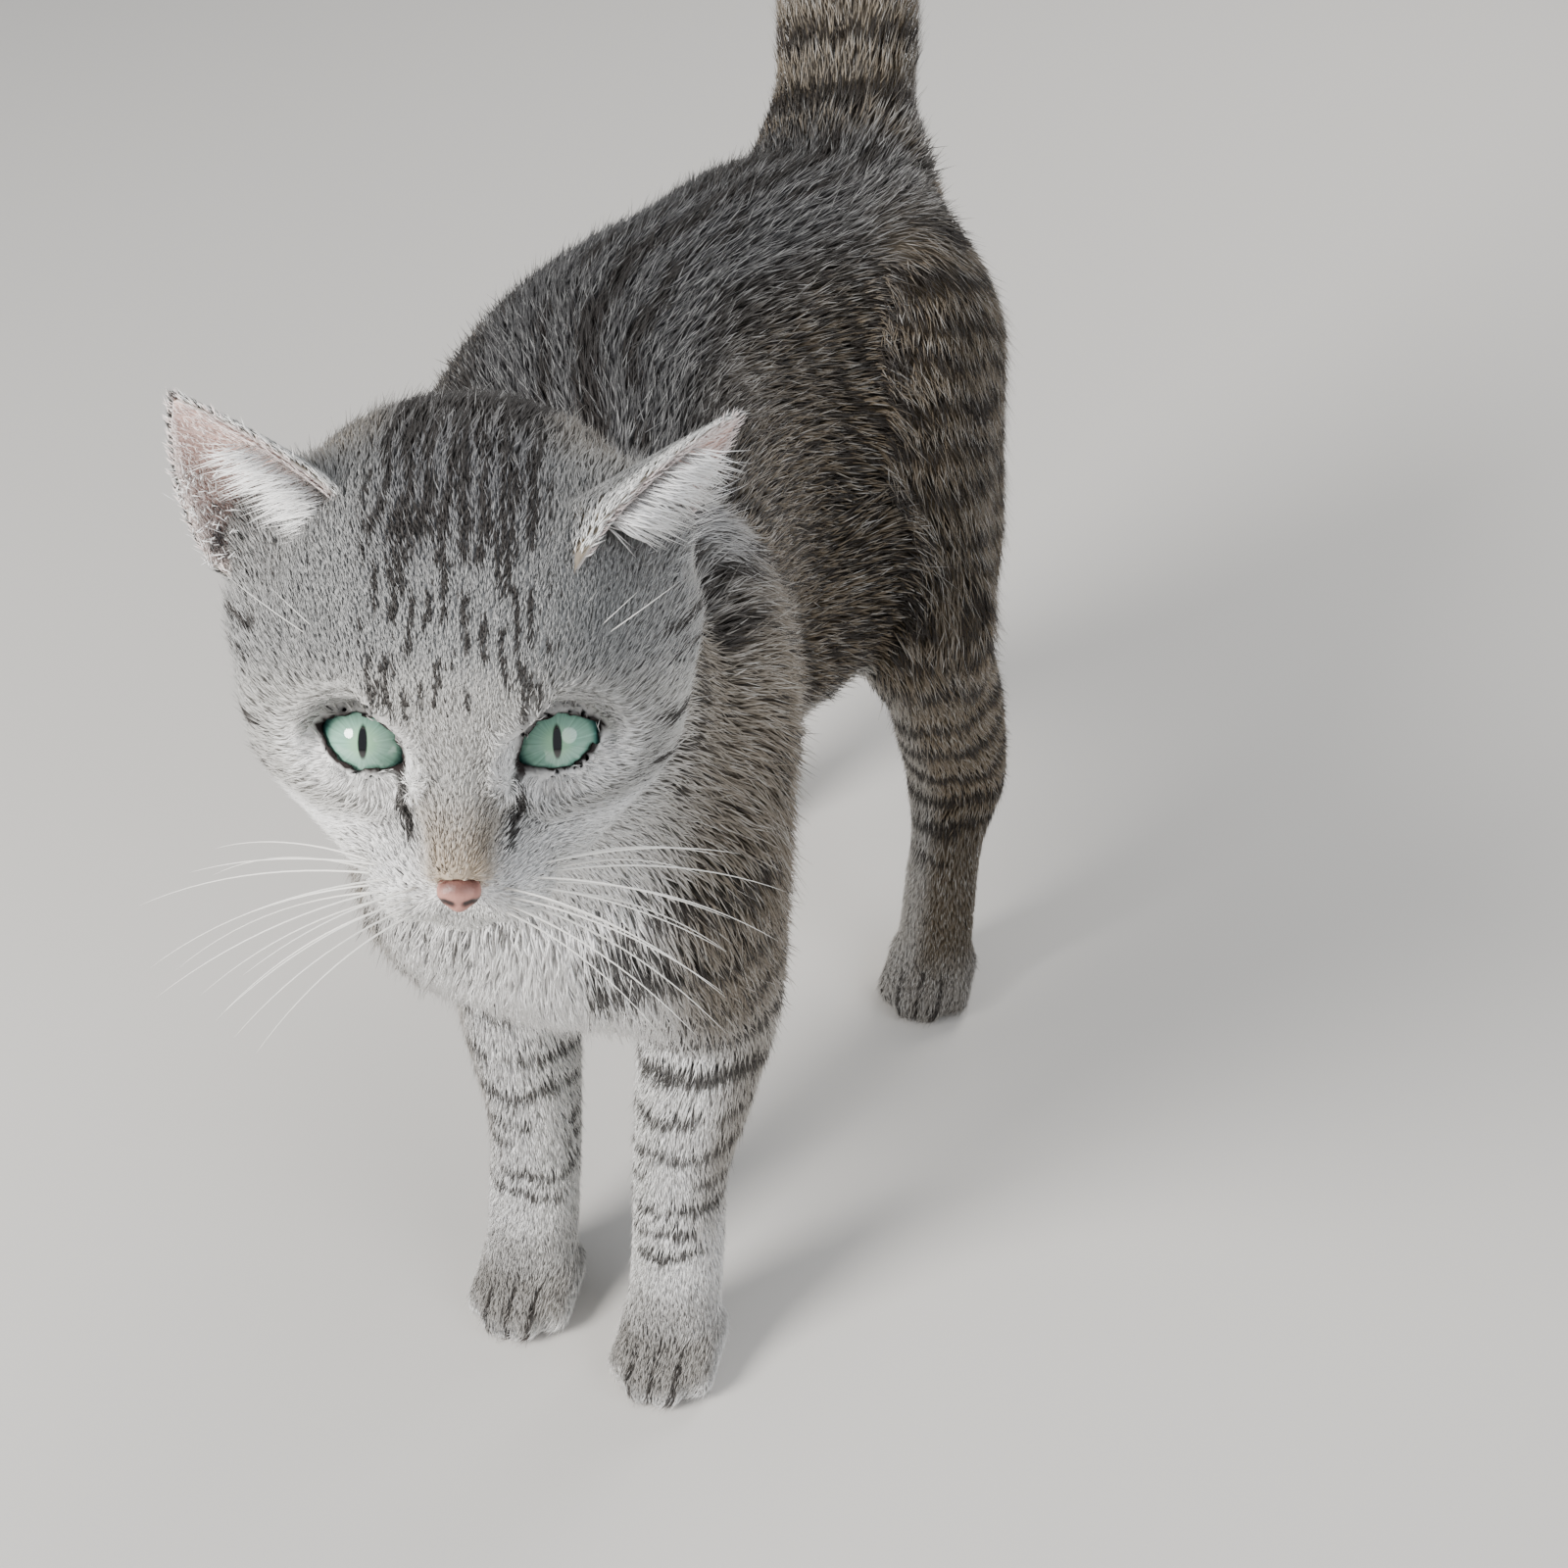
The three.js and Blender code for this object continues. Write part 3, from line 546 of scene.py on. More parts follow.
def ear(s, rows, columns):
    """A cupped shell: row v is an arc across the ear, its half width W/2 (1 - v^1.6)^0.9 and its
    bend 72 to 28 degrees from base to tip; both edges lie in the plane of the opening.

    Returns corners, quads, and per corner: height v, place across u, and 1 inside or 0 behind.
    """
    root = head_point(*EARS[s]["base"])
    axis = unit(head_point(*EARS[s]["tip"]) - root)
    height = np.linalg.norm(np.subtract(EARS[s]["tip"], EARS[s]["base"]))
    out = head_direction(*EARS[s]["opening"])
    out = unit(out - axis * (out @ axis))
    across = np.cross(out, axis)
    v = -0.3 + 1.29 * (np.arange(rows + 1) / rows) ** 0.9
    u = np.concatenate([np.linspace(-1, 1, columns), np.linspace(1, -1, columns)])
    face = np.concatenate([np.ones(columns), -np.ones(columns)])
    v, u, face = v[:, None], u[None], face[None]
    rise = np.maximum(v, 0)
    half = EAR_WIDTH / 2 * (1 - rise**1.6) ** 0.9 * (1 + 0.9 * np.minimum(v, 0))
    bend = np.radians(72 - 44 * rise)
    radius = half / np.sin(bend)
    thick = (0.55 + 0.75 * (1 - u * u)) * (1 - 0.45 * rise) + 0 * v
    r = radius + face * thick
    x = r * np.sin(u * bend)
    y = radius * np.cos(bend) - r * np.cos(u * bend)
    points = root + axis * (height * v)[..., None] + across * x[..., None] + out * y[..., None]
    size = 2 * columns
    cap = np.arange(columns - 1)
    top = rows * size
    tip = np.stack([top + cap, top + cap + 1, top + size - 2 - cap, top + size - 1 - cap], 1)
    foot = np.stack([cap + 1, cap, size - 1 - cap, size - 2 - cap], 1)
    facts = np.stack(np.broadcast_arrays(v, u, face < 0), -1).reshape(-1, 3)
    return points.reshape(-1, 3), np.concatenate([grid_quads(rows, size), tip, foot]), facts, axis, out


ears = {s: ear(s, EAR_ROWS, EAR_COLUMNS) for s in (1, -1)}

# ------------------------------------------------------------------ lie of the coat and markings


def ripple(p, size, seed):
    """Soft noise of about -1..1: a sum of seven waves in seeded directions, about size long."""
    rng = np.random.default_rng(seed)
    total = np.zeros(len(p))
    for _ in range(7):
        wave = unit(rng.normal(size=3)) * (2 * np.pi / (size * rng.uniform(0.7, 1.6)))
        total += np.sin(p @ wave + rng.uniform(0, 6.3))
    return total / 2.6


def survey(p):
    """For each region of the body: how near it is, the length along it, the angle round it."""
    found = {}
    for one in chains:
        name = one["name"]
        if name in ("head", "chin"):
            continue
        d, along, angle, heading = measure(p, one, places=True)
        if name not in found:
            found[name] = [d, along, angle, heading]
            continue
        old = found[name]
        near = d < old[0]
        for n, new in enumerate((d, along, angle, heading)):
            old[n] = np.where(near[:, None] if n == 3 else near, new, old[n])
    return found


def belongings(p, found):
    """Shares of each region at each point: e^(-d / 7), with d for the head taken from a ball, made to
    sum to one."""
    shares = {name: np.exp(-np.clip(item[0] + 6, -30, 60) / 7.0) for name, item in found.items()}
    h = in_head(p)
    reach = np.linalg.norm(h - (0, 18, 0), axis=1)
    shares["head"] = np.exp(-(reach - 50) / 6.0).clip(0, 60) * 2
    total = sum(shares.values())
    return {name: share / total for name, share in shares.items()}


def lie(p, normal, found, shares):
    """Direction the hair points: down the legs, back along the trunk, up the tail, from the nose over
    the head, all laid flat on the skin."""
    h = in_head(p)
    way = np.zeros_like(p)
    for name, share in shares.items():
        if name == "head":
            g = h - (0, -44, -22)
            g[:, 2] += 4 * ramp(-25, -40, h[:, 2])
            over = unit(g) @ HEAD
            for s in (1, -1):
                centre, gaze, _, _ = EYES[s]
                q = p - centre
                near = 2.2 * ramp(11, 2, np.abs(lid_edge(p, s))) * ((q @ gaze) > 0)
                over = over + near[:, None] * unit(q - np.outer(q @ gaze, gaze))
            way += share[:, None] * unit(over)
            continue
        heading = found[name][3].copy()
        if name in ("trunk", "flank"):
            heading[:, 2] -= 0.45
        if name.startswith(("foreleg", "hindleg")):
            foot = ramp(30, 14, p[:, 2])[:, None]
            heading = heading * (1 - foot) + foot * np.array([0, -1, -0.5])
        way += share[:, None] * heading
    way += 0.10 * np.stack([ripple(p, 40, 21), ripple(p, 40, 22), ripple(p, 40, 23)], 1)
    way -= normal * (way * normal).sum(1)[:, None]
    return unit(way)


# colours of the coat and the bare parts, as a screen shows them
CREAM = linear(236, 235, 232)
WHITE = linear(249, 248, 247)
SAND = linear(140, 130, 116)
BACK = linear(68, 67, 68)
FLANK = linear(108, 95, 77)
SHANK = linear(234, 233, 232)
THIGH = linear(126, 112, 92)
PAW = linear(150, 146, 141)
BRIDGE = linear(176, 160, 140)
BROW = linear(154, 154, 153)
CHEEK = linear(184, 182, 178)
SLATE = linear(72, 72, 77)
DARK = linear(38, 33, 30)
PINK = linear(226, 196, 187)


def bars(x, spacing, width, wander):
    """Dark share of a run of bars: 1 in the middle of each, 0 between."""
    phase = (x + wander) / spacing
    off = np.abs(phase - np.round(phase)) * spacing
    return 1 - ramp(width * 0.5 - 0.7, width * 0.5 + 1.1, off)


def mix(a, b, t):
    """Colour a with a share t of colour b, for each point."""
    return a + (b - a) * np.asarray(t)[:, None]


def dashes(across, along, spacing, width, length, seed):
    """Dark share of short strokes in columns: each column is cut at its own places along it."""
    column = np.round(across / spacing)
    rng = np.random.default_rng(seed)
    offset = rng.uniform(0, length, 64)[(column.astype(int) + 32) % 64]
    share = rng.uniform(0.5, 0.8, 64)[(column.astype(int) + 32) % 64]
    place = ((along + offset) / length) % 1.0
    off = np.abs(across - column * spacing)
    taper = ramp(0.0, 0.14, place) * ramp(share + 0.12, share, place)
    return ramp(width * 0.5 + 0.8, width * 0.5 - 0.5, off) * taper


# dark bands over the crown: place to the side, first and last rise, half width
CROWN_BANDS = ((10.2, 20, 64, 1.8), (2.6, 26, 70, 1.9), (6.4, 32, 66, 1.3), (15.5, 34, 60, 1.5))
# lines across each cheek: height, tilt, how far back and out they start, half width, strength
CHEEK_LINES = (
    (-1.0, 0.55, -3, 27.5, 2.8, 1.0), (-13.0, 0.5, -2, 26, 2.8, 0.9), (-23.0, 0.3, 2, 25, 3.4, 0.75),
    (17.0, 0.5, 4, 25, 3.2, 0.7), (8.5, 0.5, 6, 30, 2.6, 0.6),
)


def head_marks(h):
    """Ground colour and dark share on the head, from its own left, back and up.

    rise is the way up over the forehead from the eyes to the crown.
    """
    x, y, z = h.T
    side = np.abs(x)
    rise = 0.61 * y + 0.79 * z
    wander = 0.9 * ripple(h, 16, 31)
    ground = mix(CHEEK, BROW, ramp(2, 14, rise))
    muzzle = ramp(-9, -17, z + 0.2 * (y + 30)) * ramp(10, -6, y)
    ground = mix(ground, WHITE, muzzle)
    ground = mix(ground, CREAM, ramp(-20, -32, z))
    bridge = ramp(9.5, 3.5, side) * ramp(-8, -16, y) * ramp(-23, -17, z)
    ground = mix(ground, BRIDGE, bridge * ramp(4, -14, z))
    for s in (1, -1):
        q = h @ HEAD + HEAD_ORIGIN
        gap = lid_edge(q, s)
        centre, gaze, out, up = EYES[s]
        ahead = ramp(-2, 4, (q - centre) @ gaze)
        low = ramp(2, -4, (q - centre) @ up)
        ground = mix(ground, WHITE, ahead * hump(gap, 3.6, 5.4) * np.maximum(low, 0.3))
    front = ramp(-2, -8, y)
    ground = mix(ground, WHITE, 0.95 * front * hump(side, 10.0, 4.6) * hump(rise, -11, 9))
    ground = mix(ground, SAND, 0.75 * ramp(24, 48, y) * ramp(-30, -12, z))
    ground = mix(ground, SLATE, 0.75 * ramp(16, 46, rise) * ramp(24, 12, side) * ramp(112, 92, rise))
    # columns of strokes over the forehead, which join into broad patches on the crown
    bowed = side + 0.05 * (rise - 30) + wander * 0.7
    forehead = ramp(21, 17, side) * ramp(-2, 4, rise + 0.3 * side) * ramp(48, 38, rise)
    dark = 0.8 * dashes(bowed + 1.7, rise + 6 * (x > 0), 3.4, 1.2, 19, 61) * forehead
    crown = ramp(28, 38, rise) * ramp(22, 17, side)
    wide = 0.8 * bars(bowed, 4.6, 2.1, 2.3 + 0.4 * wander)
    dark = np.maximum(dark, wide * crown * ramp(-1.1, -0.2, ripple(h * (1.0, 0.5, 0.5), 9, 32) + 0.3))
    for middle, first, last, thick in CROWN_BANDS:
        column = hump(bowed, middle, thick) * ramp(first, first + 5, rise) * ramp(last + 10, last, rise)
        dark = np.maximum(dark, 0.85 * column)
    nape = ramp(58, 66, rise) * ramp(24, 18, side)
    dark = np.maximum(dark, nape * bars(bowed, 9.5, 6.2, 4.75 + wander))
    # a mark over the inner end of each eye, leaning outwards
    brow = hump(side - 14.2 - 0.39 * (5.5 - rise), 0, 3.6) * hump(rise, 5.5, 9.0)
    dark = np.maximum(dark, 0.75 * brow)
    # lines from the outer corner of the eye and across the cheek
    for level, tilt, start, out_from, thick, strong in CHEEK_LINES:
        line = hump(z - level + tilt * (y - start) + wander, 0, thick)
        line *= ramp(start - 3, start + 4, y) * ramp(out_from, out_from + 3, side)
        dark = np.maximum(dark, strong * line)
    # dark edge from the inner corner of the eye down beside the nose
    tear = hump(side - 12.6 - 0.16 * (rise + 10), 0, 2.1) * ramp(-6, -9, rise) * ramp(-35, -24, rise)
    # blurred smudges on the cheeks, behind the whisker pads
    smudge = hump(z, -19, 5) * hump(side, 21, 7) * ramp(-14, -4, y) * ramp(-0.2, 0.6, ripple(h, 8, 33))
    dark = np.maximum(dark, 0.8 * smudge)
    # spots in rows where the whiskers grow
    rows = bars(z, 3.2, 1.0, 0.0) * bars(y, 3.4, 1.0, 0.0)
    rows *= ramp(4, 8, side) * ramp(-14, -18, z) * ramp(-8, -14, y)
    plain = 1 - 0.9 * muzzle * ramp(-12, -17, z) * (rows < 0.1) * (smudge < 0.1)
    return ground, np.maximum(np.maximum(dark, 0.45 * rows) * plain, tear * front)


# height, half height and strength of the bars across the forelegs, from the shoulder to the wrist
FORELEG_BARS = (
    (220, 5.2, 0.8), (199, 5.2, 0.9), (178, 5.0, 0.9), (157, 4.8, 0.9), (138, 5.6, 1.3), (119, 5.4, 1.3),
    (102, 3.8, 0.95), (88, 3.4, 0.9), (75, 3.2, 1.0), (66, 2.8, 1.0), (57, 2.8, 1.0), (48, 2.6, 1.0),
)


# middle line of the back: how far back and how far to the left
SPINE_BACK, SPINE_LEFT = (14, 50, 92, 140, 190, 240, 290, 322), (3, -2, -18, -38, -43, -28, -8, -9)


def foreleg_marks(s, p, normal):
    """Ground colour and dark share on a foreleg: separate bars, broken up, on a pale shank."""
    x, y, z = p.T
    out, back, up = normal.T * np.array([[s], [1], [1]])
    level = z + 0.18 * (y - 20) * ramp(60, 140, z) - 0.10 * s * (x - s * 25) + 1.6 * ripple(p, 18, 45)
    strong = np.max([share * hump(level, middle, half) for middle, half, share in FORELEG_BARS], 0)
    sides = np.maximum(ramp(0.35, 0.95, out), ramp(0.0, 0.8, back))
    ground = mix(SHANK, SAND, 0.75 * sides * ramp(36, 90, z))
    ground = mix(ground, FLANK, 0.9 * ramp(26, 40, x * s) * ramp(130, 160, z))
    ground = mix(ground, CREAM, 0.8 * ramp(-0.1, -0.7, out))
    ground = mix(ground, PAW, ramp(40, 28, z) * ramp(-0.2, 0.6, up))
    return ground, strong * ramp(-1.1, -0.3, ripple(p, 20, 46) + 0.25)


def hind_leg_marks(s, p, normal):
    """Ground colour and dark share on a hind leg: even bars down to the hock, dark behind it."""
    _, y, z = p.T
    level = z + 0.35 * (y - 235) * ramp(90, 170, z) + 2.2 * ripple(p, 22, 47)
    bar = bars(level, 13.4, 5.6, 1.5) * ramp(48, 62, z)
    ground = mix(THIGH, FLANK, ramp(120, 190, z))
    ground = mix(ground, THIGH * 0.62, ramp(84, 58, z))
    ground = mix(ground, CREAM, 0.4 * ramp(0.1, -0.6, normal[:, 0] * s) * ramp(200, 130, z))
    ground = mix(ground, PAW, 0.7 * ramp(24, 10, z))
    hock = ramp(0.40, 0.95, normal[:, 1]) * ramp(95, 55, z)
    return ground, np.maximum(bar * ramp(-1.6, -0.9, ripple(p, 20, 48) + 0.2), hock * 0.6)


def painted_toe_shade(p):
    """1 along the three lines of painted shade in the gaps between the toes of each foot."""
    out = np.zeros(len(p))
    x, y, z = p.T
    for middle, toe in FEET.values():
        here = (np.abs(x - middle) < 20) & (z < 26) & (y > toe - 6) & (y < toe + 24)
        nearest = np.min(np.abs(x[:, None] - middle - CLEFTS), 1)
        out = np.maximum(out, here * hump(nearest, 0, 1.5) * ramp(toe + 20, toe + 10, y))
    return out


def body_marks(p, normal, found, shares):
    """Ground colour and dark share of the coat at points of the body."""
    x, y, z = p.T
    _, back, height = normal.T
    wander = 3.2 * ripple(p, 46, 41) + 1.2 * ripple(p, 15, 42)
    grounds, darks = {}, {}
    along = found["trunk"][1]
    under = ramp(-0.25, -0.8, height)
    upper = ramp(228, 252, z)
    ground = mix(FLANK, BACK, ramp(0.35, 0.9, height) * upper)
    ground = mix(ground, CREAM, under * 0.85)
    ground = mix(ground, SAND, ramp(95, 40, along) * ramp(0.5, -0.2, height) * 0.6)
    sweep = -14 * ramp(0.2, 1.6, 1.57 - height * 1.57) + 0.12 * (z - 200)
    stripe = 1.35 * bars(along, 13.6, 5.8, 0.6 * wander + sweep)
    broken = ramp(-1.5, -0.8, ripple(p, 34, 43) + 0.3)
    dark = stripe * broken * ramp(0.90, 0.72, height * upper) * (1 - under * 0.7)
    spine = np.abs(x - np.interp(y, SPINE_BACK, SPINE_LEFT))
    lines = np.maximum(hump(spine, 0, 6.5), 0.8 * hump(spine, 12.5, 4.2)) * ramp(0.55, 0.8, height) * upper
    dark = np.maximum(dark, lines * ramp(-1.2, 0.1, ripple(p, 26, 44)))
    grounds["trunk"], darks["trunk"] = ground, dark
    grounds["flank"], darks["flank"] = ground, dark * 0.8
    dark = bars(x, 9.5, 4.0, wander) * ramp(0.3, 0.7, height)
    ground = mix(SAND, BACK, ramp(0.3, 0.8, height))
    grounds["neck"] = mix(ground, CREAM, ramp(0.1, -0.5, height))
    darks["neck"] = np.maximum(dark, 0.8 * bars(found["neck"][1], 22, 5, wander) * ramp(0.5, 0.2, height))
    aside = ramp(26, 42, np.abs(x + 5)) * ramp(140, 165, z)
    ground = mix(SAND, WHITE, ramp(0.2, -0.3, back))
    grounds["throat"] = mix(ground, FLANK, aside * 0.9)
    collar = hump(z + 0.10 * np.abs(x) ** 1.3 + wander, 226, 4.2) * 0.5
    collar = np.maximum(collar, hump(z + 0.12 * np.abs(x) ** 1.3 + wander, 204, 3.6) * 0.35)
    side_bars = 0.5 * bars(found["throat"][1], 17, 5.0, wander) * ramp(30, 44, np.abs(x))
    darks["throat"] = np.maximum(collar, side_bars)
    along = found["tail"][1]
    behind = ramp(-0.1, 0.5, back + 0.6 * ramp(330, 290, z) * height)
    ring = bars(along, 27, 10, 0.7 * wander + 6)
    grounds["tail"] = mix(mix(FLANK, BACK, behind), SAND, ramp(-0.2, -0.7, back) * 0.7)
    darks["tail"] = np.maximum(np.maximum(ring, 0.9 * ramp(0.84, 0.98, back)), ramp(235, 255, along))
    for name in FEET:
        marks = foreleg_marks if "fore" in name else hind_leg_marks
        grounds[name], darks[name] = marks(1 if "left" in name else -1, p, normal)
    grounds["head"], darks["head"] = head_marks(in_head(p))
    ground = sum(shares[name][:, None] * grounds[name] for name in shares)
    dark = sum(shares[name] * darks[name] for name in shares)
    # white bib down the front of the chest, to the forelegs
    bib = ramp(0.15, -0.35, back) * ramp(46, 28, np.abs(x + 3)) * ramp(60, 30, y)
    bib *= ramp(262, 240, z) * ramp(90, 130, z) * (1 - shares["head"])
    ground = mix(ground, WHITE, 0.85 * bib)
    # painted shade in the gaps between the toes
    return ground, np.maximum(dark, 0.85 * painted_toe_shade(p))


def rim_of_eyes(p):
    """1 on the bare dark edge of the lids and in the inner corner."""
    out = np.zeros(len(p))
    for s in (1, -1):
        centre, gaze, out_way, up_way = EYES[s]
        gap = lid_edge(p, s)
        near = (p - centre) @ gaze > 2
        corner = centre - 9.6 * out_way - 3.6 * up_way + 8.6 * gaze
        wide = 0.75 + 0.5 * ramp(-2, -5, (p - centre) @ up_way) * ramp(-4, 2, (p - centre) @ out_way)
        out_of_it = np.maximum(ramp(0.6, 0.0, gap - wide), ramp(1.8, 0.9, np.linalg.norm(p - corner, axis=1)))
        out = np.maximum(out, near * out_of_it * (np.linalg.norm(p - centre, axis=1) < LID_REACH))
    return out


found = survey(skin_points)
shares = belongings(skin_points, found)
skin_flow = lie(skin_points, skin_normals, found, shares)
skin_ground, skin_dark = body_marks(skin_points, skin_normals, found, shares)
skin_depth = coat_depth(skin_points)

# ------------------------------------------------------------------ meshes and materials


def make(name, points, faces, colours=None, uv=None, material=None, smooth=True, move=True):
    """Mesh object from arrays: points in millimetres, faces as rows of corner numbers."""
    me = bpy.data.meshes.new(name)
    size = faces.shape[1]
    me.vertices.add(len(points))
    placed = (points + shift) / 1000 if move else points
    me.vertices.foreach_set("co", placed.astype(np.float32).ravel())
    me.loops.add(faces.size)
    me.loops.foreach_set("vertex_index", faces.astype(np.int32).ravel())
    me.polygons.add(len(faces))
    me.polygons.foreach_set("loop_start", np.arange(0, faces.size, size, dtype=np.int32))
    me.polygons.foreach_set("use_smooth", np.full(len(faces), smooth))
    if uv is not None:
        layer = me.uv_layers.new(name="OFBake")
        layer.data.foreach_set("uv", uv[faces.ravel()].astype(np.float32).ravel())
    me.update(calc_edges=True)
    if colours is not None:
        layer = me.color_attributes.new("tint", "FLOAT_COLOR", "POINT")
        rgba = np.concatenate([colours, np.ones((len(colours), 1))], 1)
        layer.data.foreach_set("color", rgba.astype(np.float32).ravel())
    if material:
        me.materials.append(material)
    ob = bpy.data.objects.new(name, me)
    bpy.context.scene.collection.objects.link(ob)
    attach(ob, "root")
    return ob


def surface(name, roughness, colour=None, bump=None, **sockets):
    """Principled material: its colour from the mesh's tint, or fixed, with an optional noise bump."""
    m = bpy.data.materials.new(name)
    m.use_nodes = True
    nodes, links = m.node_tree.nodes, m.node_tree.links
    shader = nodes["Principled BSDF"]
    shader.inputs["Roughness"].default_value = roughness
    for key, value in sockets.items():
        shader.inputs[key.replace("_", " ")].default_value = value
    if colour is None:
        tint = nodes.new("ShaderNodeAttribute")
        tint.attribute_name = "tint"
        links.new(tint.outputs["Color"], shader.inputs["Base Color"])
    else:
        shader.inputs["Base Color"].default_value = (*colour, 1)
    if bump:
        scale, height = bump
        place = nodes.new("ShaderNodeTexCoord")
        noise = nodes.new("ShaderNodeTexNoise")
        noise.inputs["Scale"].default_value = scale
        noise.inputs["Detail"].default_value = 3
        raised = nodes.new("ShaderNodeBump")
        raised.inputs["Strength"].default_value = 0.6
        raised.inputs["Distance"].default_value = height
        links.new(place.outputs["Object"], noise.inputs["Vector"])
        links.new(noise.outputs["Fac"], raised.inputs["Height"])
        links.new(raised.outputs["Normal"], shader.inputs["Normal"])
    return m


fur = surface("fur", 0.62, Specular_IOR_Level=0.35)
hide = surface("skin", 0.8, bump=(900.0, 0.0006), Specular_IOR_Level=0.25)
leather = surface("nose leather", 0.45, bump=(1600.0, 0.0002))
wet = surface("eye", 0.06, Coat_Weight=1.0, Coat_Roughness=0.02)
stiff = surface("whisker", 0.35, colour=linear(238, 236, 230))
pad = surface("paw pad", 0.6, colour=linear(86, 66, 60), bump=(900.0, 0.0003))

# ------------------------------------------------------------------ skin with its ears

RIM = linear(34, 26, 25)
rim = rim_of_eyes(skin_points)
# painted shade under the coat: the skin takes the coat's ground colour, darker where the coat is deeper, with
# its dark marks
bare = mix(skin_ground * np.clip(1.0 - 0.03 * skin_depth, 0.75, 1)[:, None], DARK, skin_dark * 0.9)
head_skin = in_head(skin_points)
mouth = np.minimum(
    rod(folded(head_skin), LIP_MIDDLE, LIP_SIDE, 0), rod(folded(head_skin), LIP_SIDE, LIP_CORNER, 0))
bare = mix(bare, RIM, np.maximum(rim, 0.8 * ramp(1.6, 0.8, mouth)))

skin_tints = [bare]
for _, _, facts, _, _ in ears.values():
    v, u, inner = facts.T
    tint = mix(SAND * 0.8, PINK, inner)
    # painted shade: the inside of the cup darker pink towards its foot, where it is deep
    tint = mix(tint, PINK * 0.62, inner * ramp(0.30, -0.1, v))
    skin_tints.append(mix(tint, CREAM, inner * ramp(0.75, 1.0, np.abs(u)) * 0.7))
skin_net = joined([(skin_points, skin_quads)] + [one[:2] for one in ears.values()])
skin = make("skin", *skin_net, np.concatenate(skin_tints), material=hide)
flesh = [
    "head", "neck", "trunk", "tail", "ear_left", "ear_right", "foreleg_left", "foreleg_right", "hindleg_left",
    "hindleg_right", "forepaw_left", "forepaw_right", "hindpaw_left", "hindpaw_right",
]
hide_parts(*flesh)

# ------------------------------------------------------------------ tufts

TUFTS = 225000
TUFT_SWAY = 0.16
GUARD_SHARE = 0.13
MOST_TRIANGLES = 196000


def scatter(points, quads, density, number):
    """Random places on a net of quads, in proportion to area times density.

    Returns triangle corners and weights of each place.
    """
    triangles = halves(quads)
    a, b, c = points[triangles[:, 0]], points[triangles[:, 1]], points[triangles[:, 2]]
    area = np.linalg.norm(np.cross(b - a, c - a), axis=1) / 2
    weight = area * density[triangles].mean(1)
    total = np.cumsum(weight)
    if number is None:
        number = int(total[-1])
    pick = np.searchsorted(total, (np.arange(number) + chance.random(number)) / number * total[-1])
    pick = np.minimum(pick, len(triangles) - 1)
    r = np.sqrt(chance.random(number))
    t = chance.random(number)
    return triangles[pick], np.stack([1 - r, r * (1 - t), r * t], 1)


def at(values, corners, weights):
    """Values at places on the net: the corners' values, weighted."""
    got = values[corners]
    return (got * (weights if got.ndim == 2 else weights[:, :, None])).sum(1)


def spikes(root, normal, way, length, width, low, high, sway):
    """Closed curved spikes: a point in the skin, a flat triangle at 0.42 of the length, and a tip.

    low and high are the heights of the triangle and the tip over the skin.
    """
    n = len(root)
    side = np.cross(way, normal)
    turn = sway * chance.normal(size=n)
    way = unit(way + side * turn[:, None])
    side = np.cross(way, normal)
    bend = chance.normal(size=n) * 0.06
    middle = root + way * (0.42 * length)[:, None] + normal * low[:, None]
    tip = root + way * length[:, None] + normal * high[:, None] + side * (bend * length)[:, None]
    foot = root - normal * 0.6 - way * 0.3
    half = (width / 2)[:, None]
    ridge = middle + normal * half * 0.7
    corners = np.stack([foot, middle - side * half, middle + side * half, ridge, tip], 1)
    faces = np.array([(0, 1, 3), (0, 3, 2), (0, 2, 1), (4, 3, 1), (4, 2, 3), (4, 1, 2)])
    order = (np.arange(n) * corners.shape[1])[:, None, None] + faces
    return corners.reshape(-1, 3), order.reshape(-1, 3)


def patches(u, v, size=0.003):
    """Map corners of each spike: a patch at its root's place."""
    shape = np.array([(0.5, 0.0), (0.0, 0.42), (1.0, 0.42), (0.5, 0.42), (0.5, 1.0)]) * size
    at_root = np.stack([u, v], 1) * (1 - size)
    return (at_root[:, None] + shape[None]).reshape(-1, 2)


def even(x):
    """Monotone stretch of values so that they fill 0..1 evenly."""
    order = np.argsort(x, kind="stable")
    out = np.empty(len(x))
    out[order] = (np.arange(len(x)) + 0.5) / len(x)
    return 0.85 * out + 0.15 * (x - x.min()) / max(np.ptp(x), 1e-9)


def tuft_tints(ground, dark, n, depth, soft=0.40):
    """Tints of foot, three middle corners and tip: darker at the foot, partly the grey undercoat and partly
    painted shade deep in the coat, the more so where the coat is deeper;
    the ground's colour; a light or dark tip. Stripes are built of dark hairs, with a few light ones among
    them."""
    black = (dark + soft * (chance.random(n) - 0.5) > 0.46) & (chance.random(n) > 0.07)
    black |= chance.random(n) < np.where(ground[:, 0] > 0.6, 0.004, 0.02)
    shade = (0.86 + 0.28 * chance.random(n))[:, None]
    body = np.where(black[:, None], (DARK + 0.09 * ground) * shade, ground * shade)
    # undercoat with painted shade: the foot of each hair is darker the deeper the coat is
    foot = np.where(black[:, None], DARK, ground * np.clip(0.92 - 0.045 * depth, 0.60, 0.85)[:, None])
    pale = (0.06 + 0.80 * chance.random(n) ** 2.6)[:, None]
    light = ground + (CREAM * 1.1 - ground) * pale
    tip = np.where(black[:, None], DARK * 1.5 + 0.12 * CREAM * (chance.random(n) < 0.25)[:, None], light)
    return np.stack([foot, body, body, body, tip], 1).reshape(-1, 3)


def coat_sizes(depth):
    """Length and width of the tufts where the coat is depth thick."""
    length = 1.4 + 1.4 * depth
    return length, 0.29 + 0.027 * length


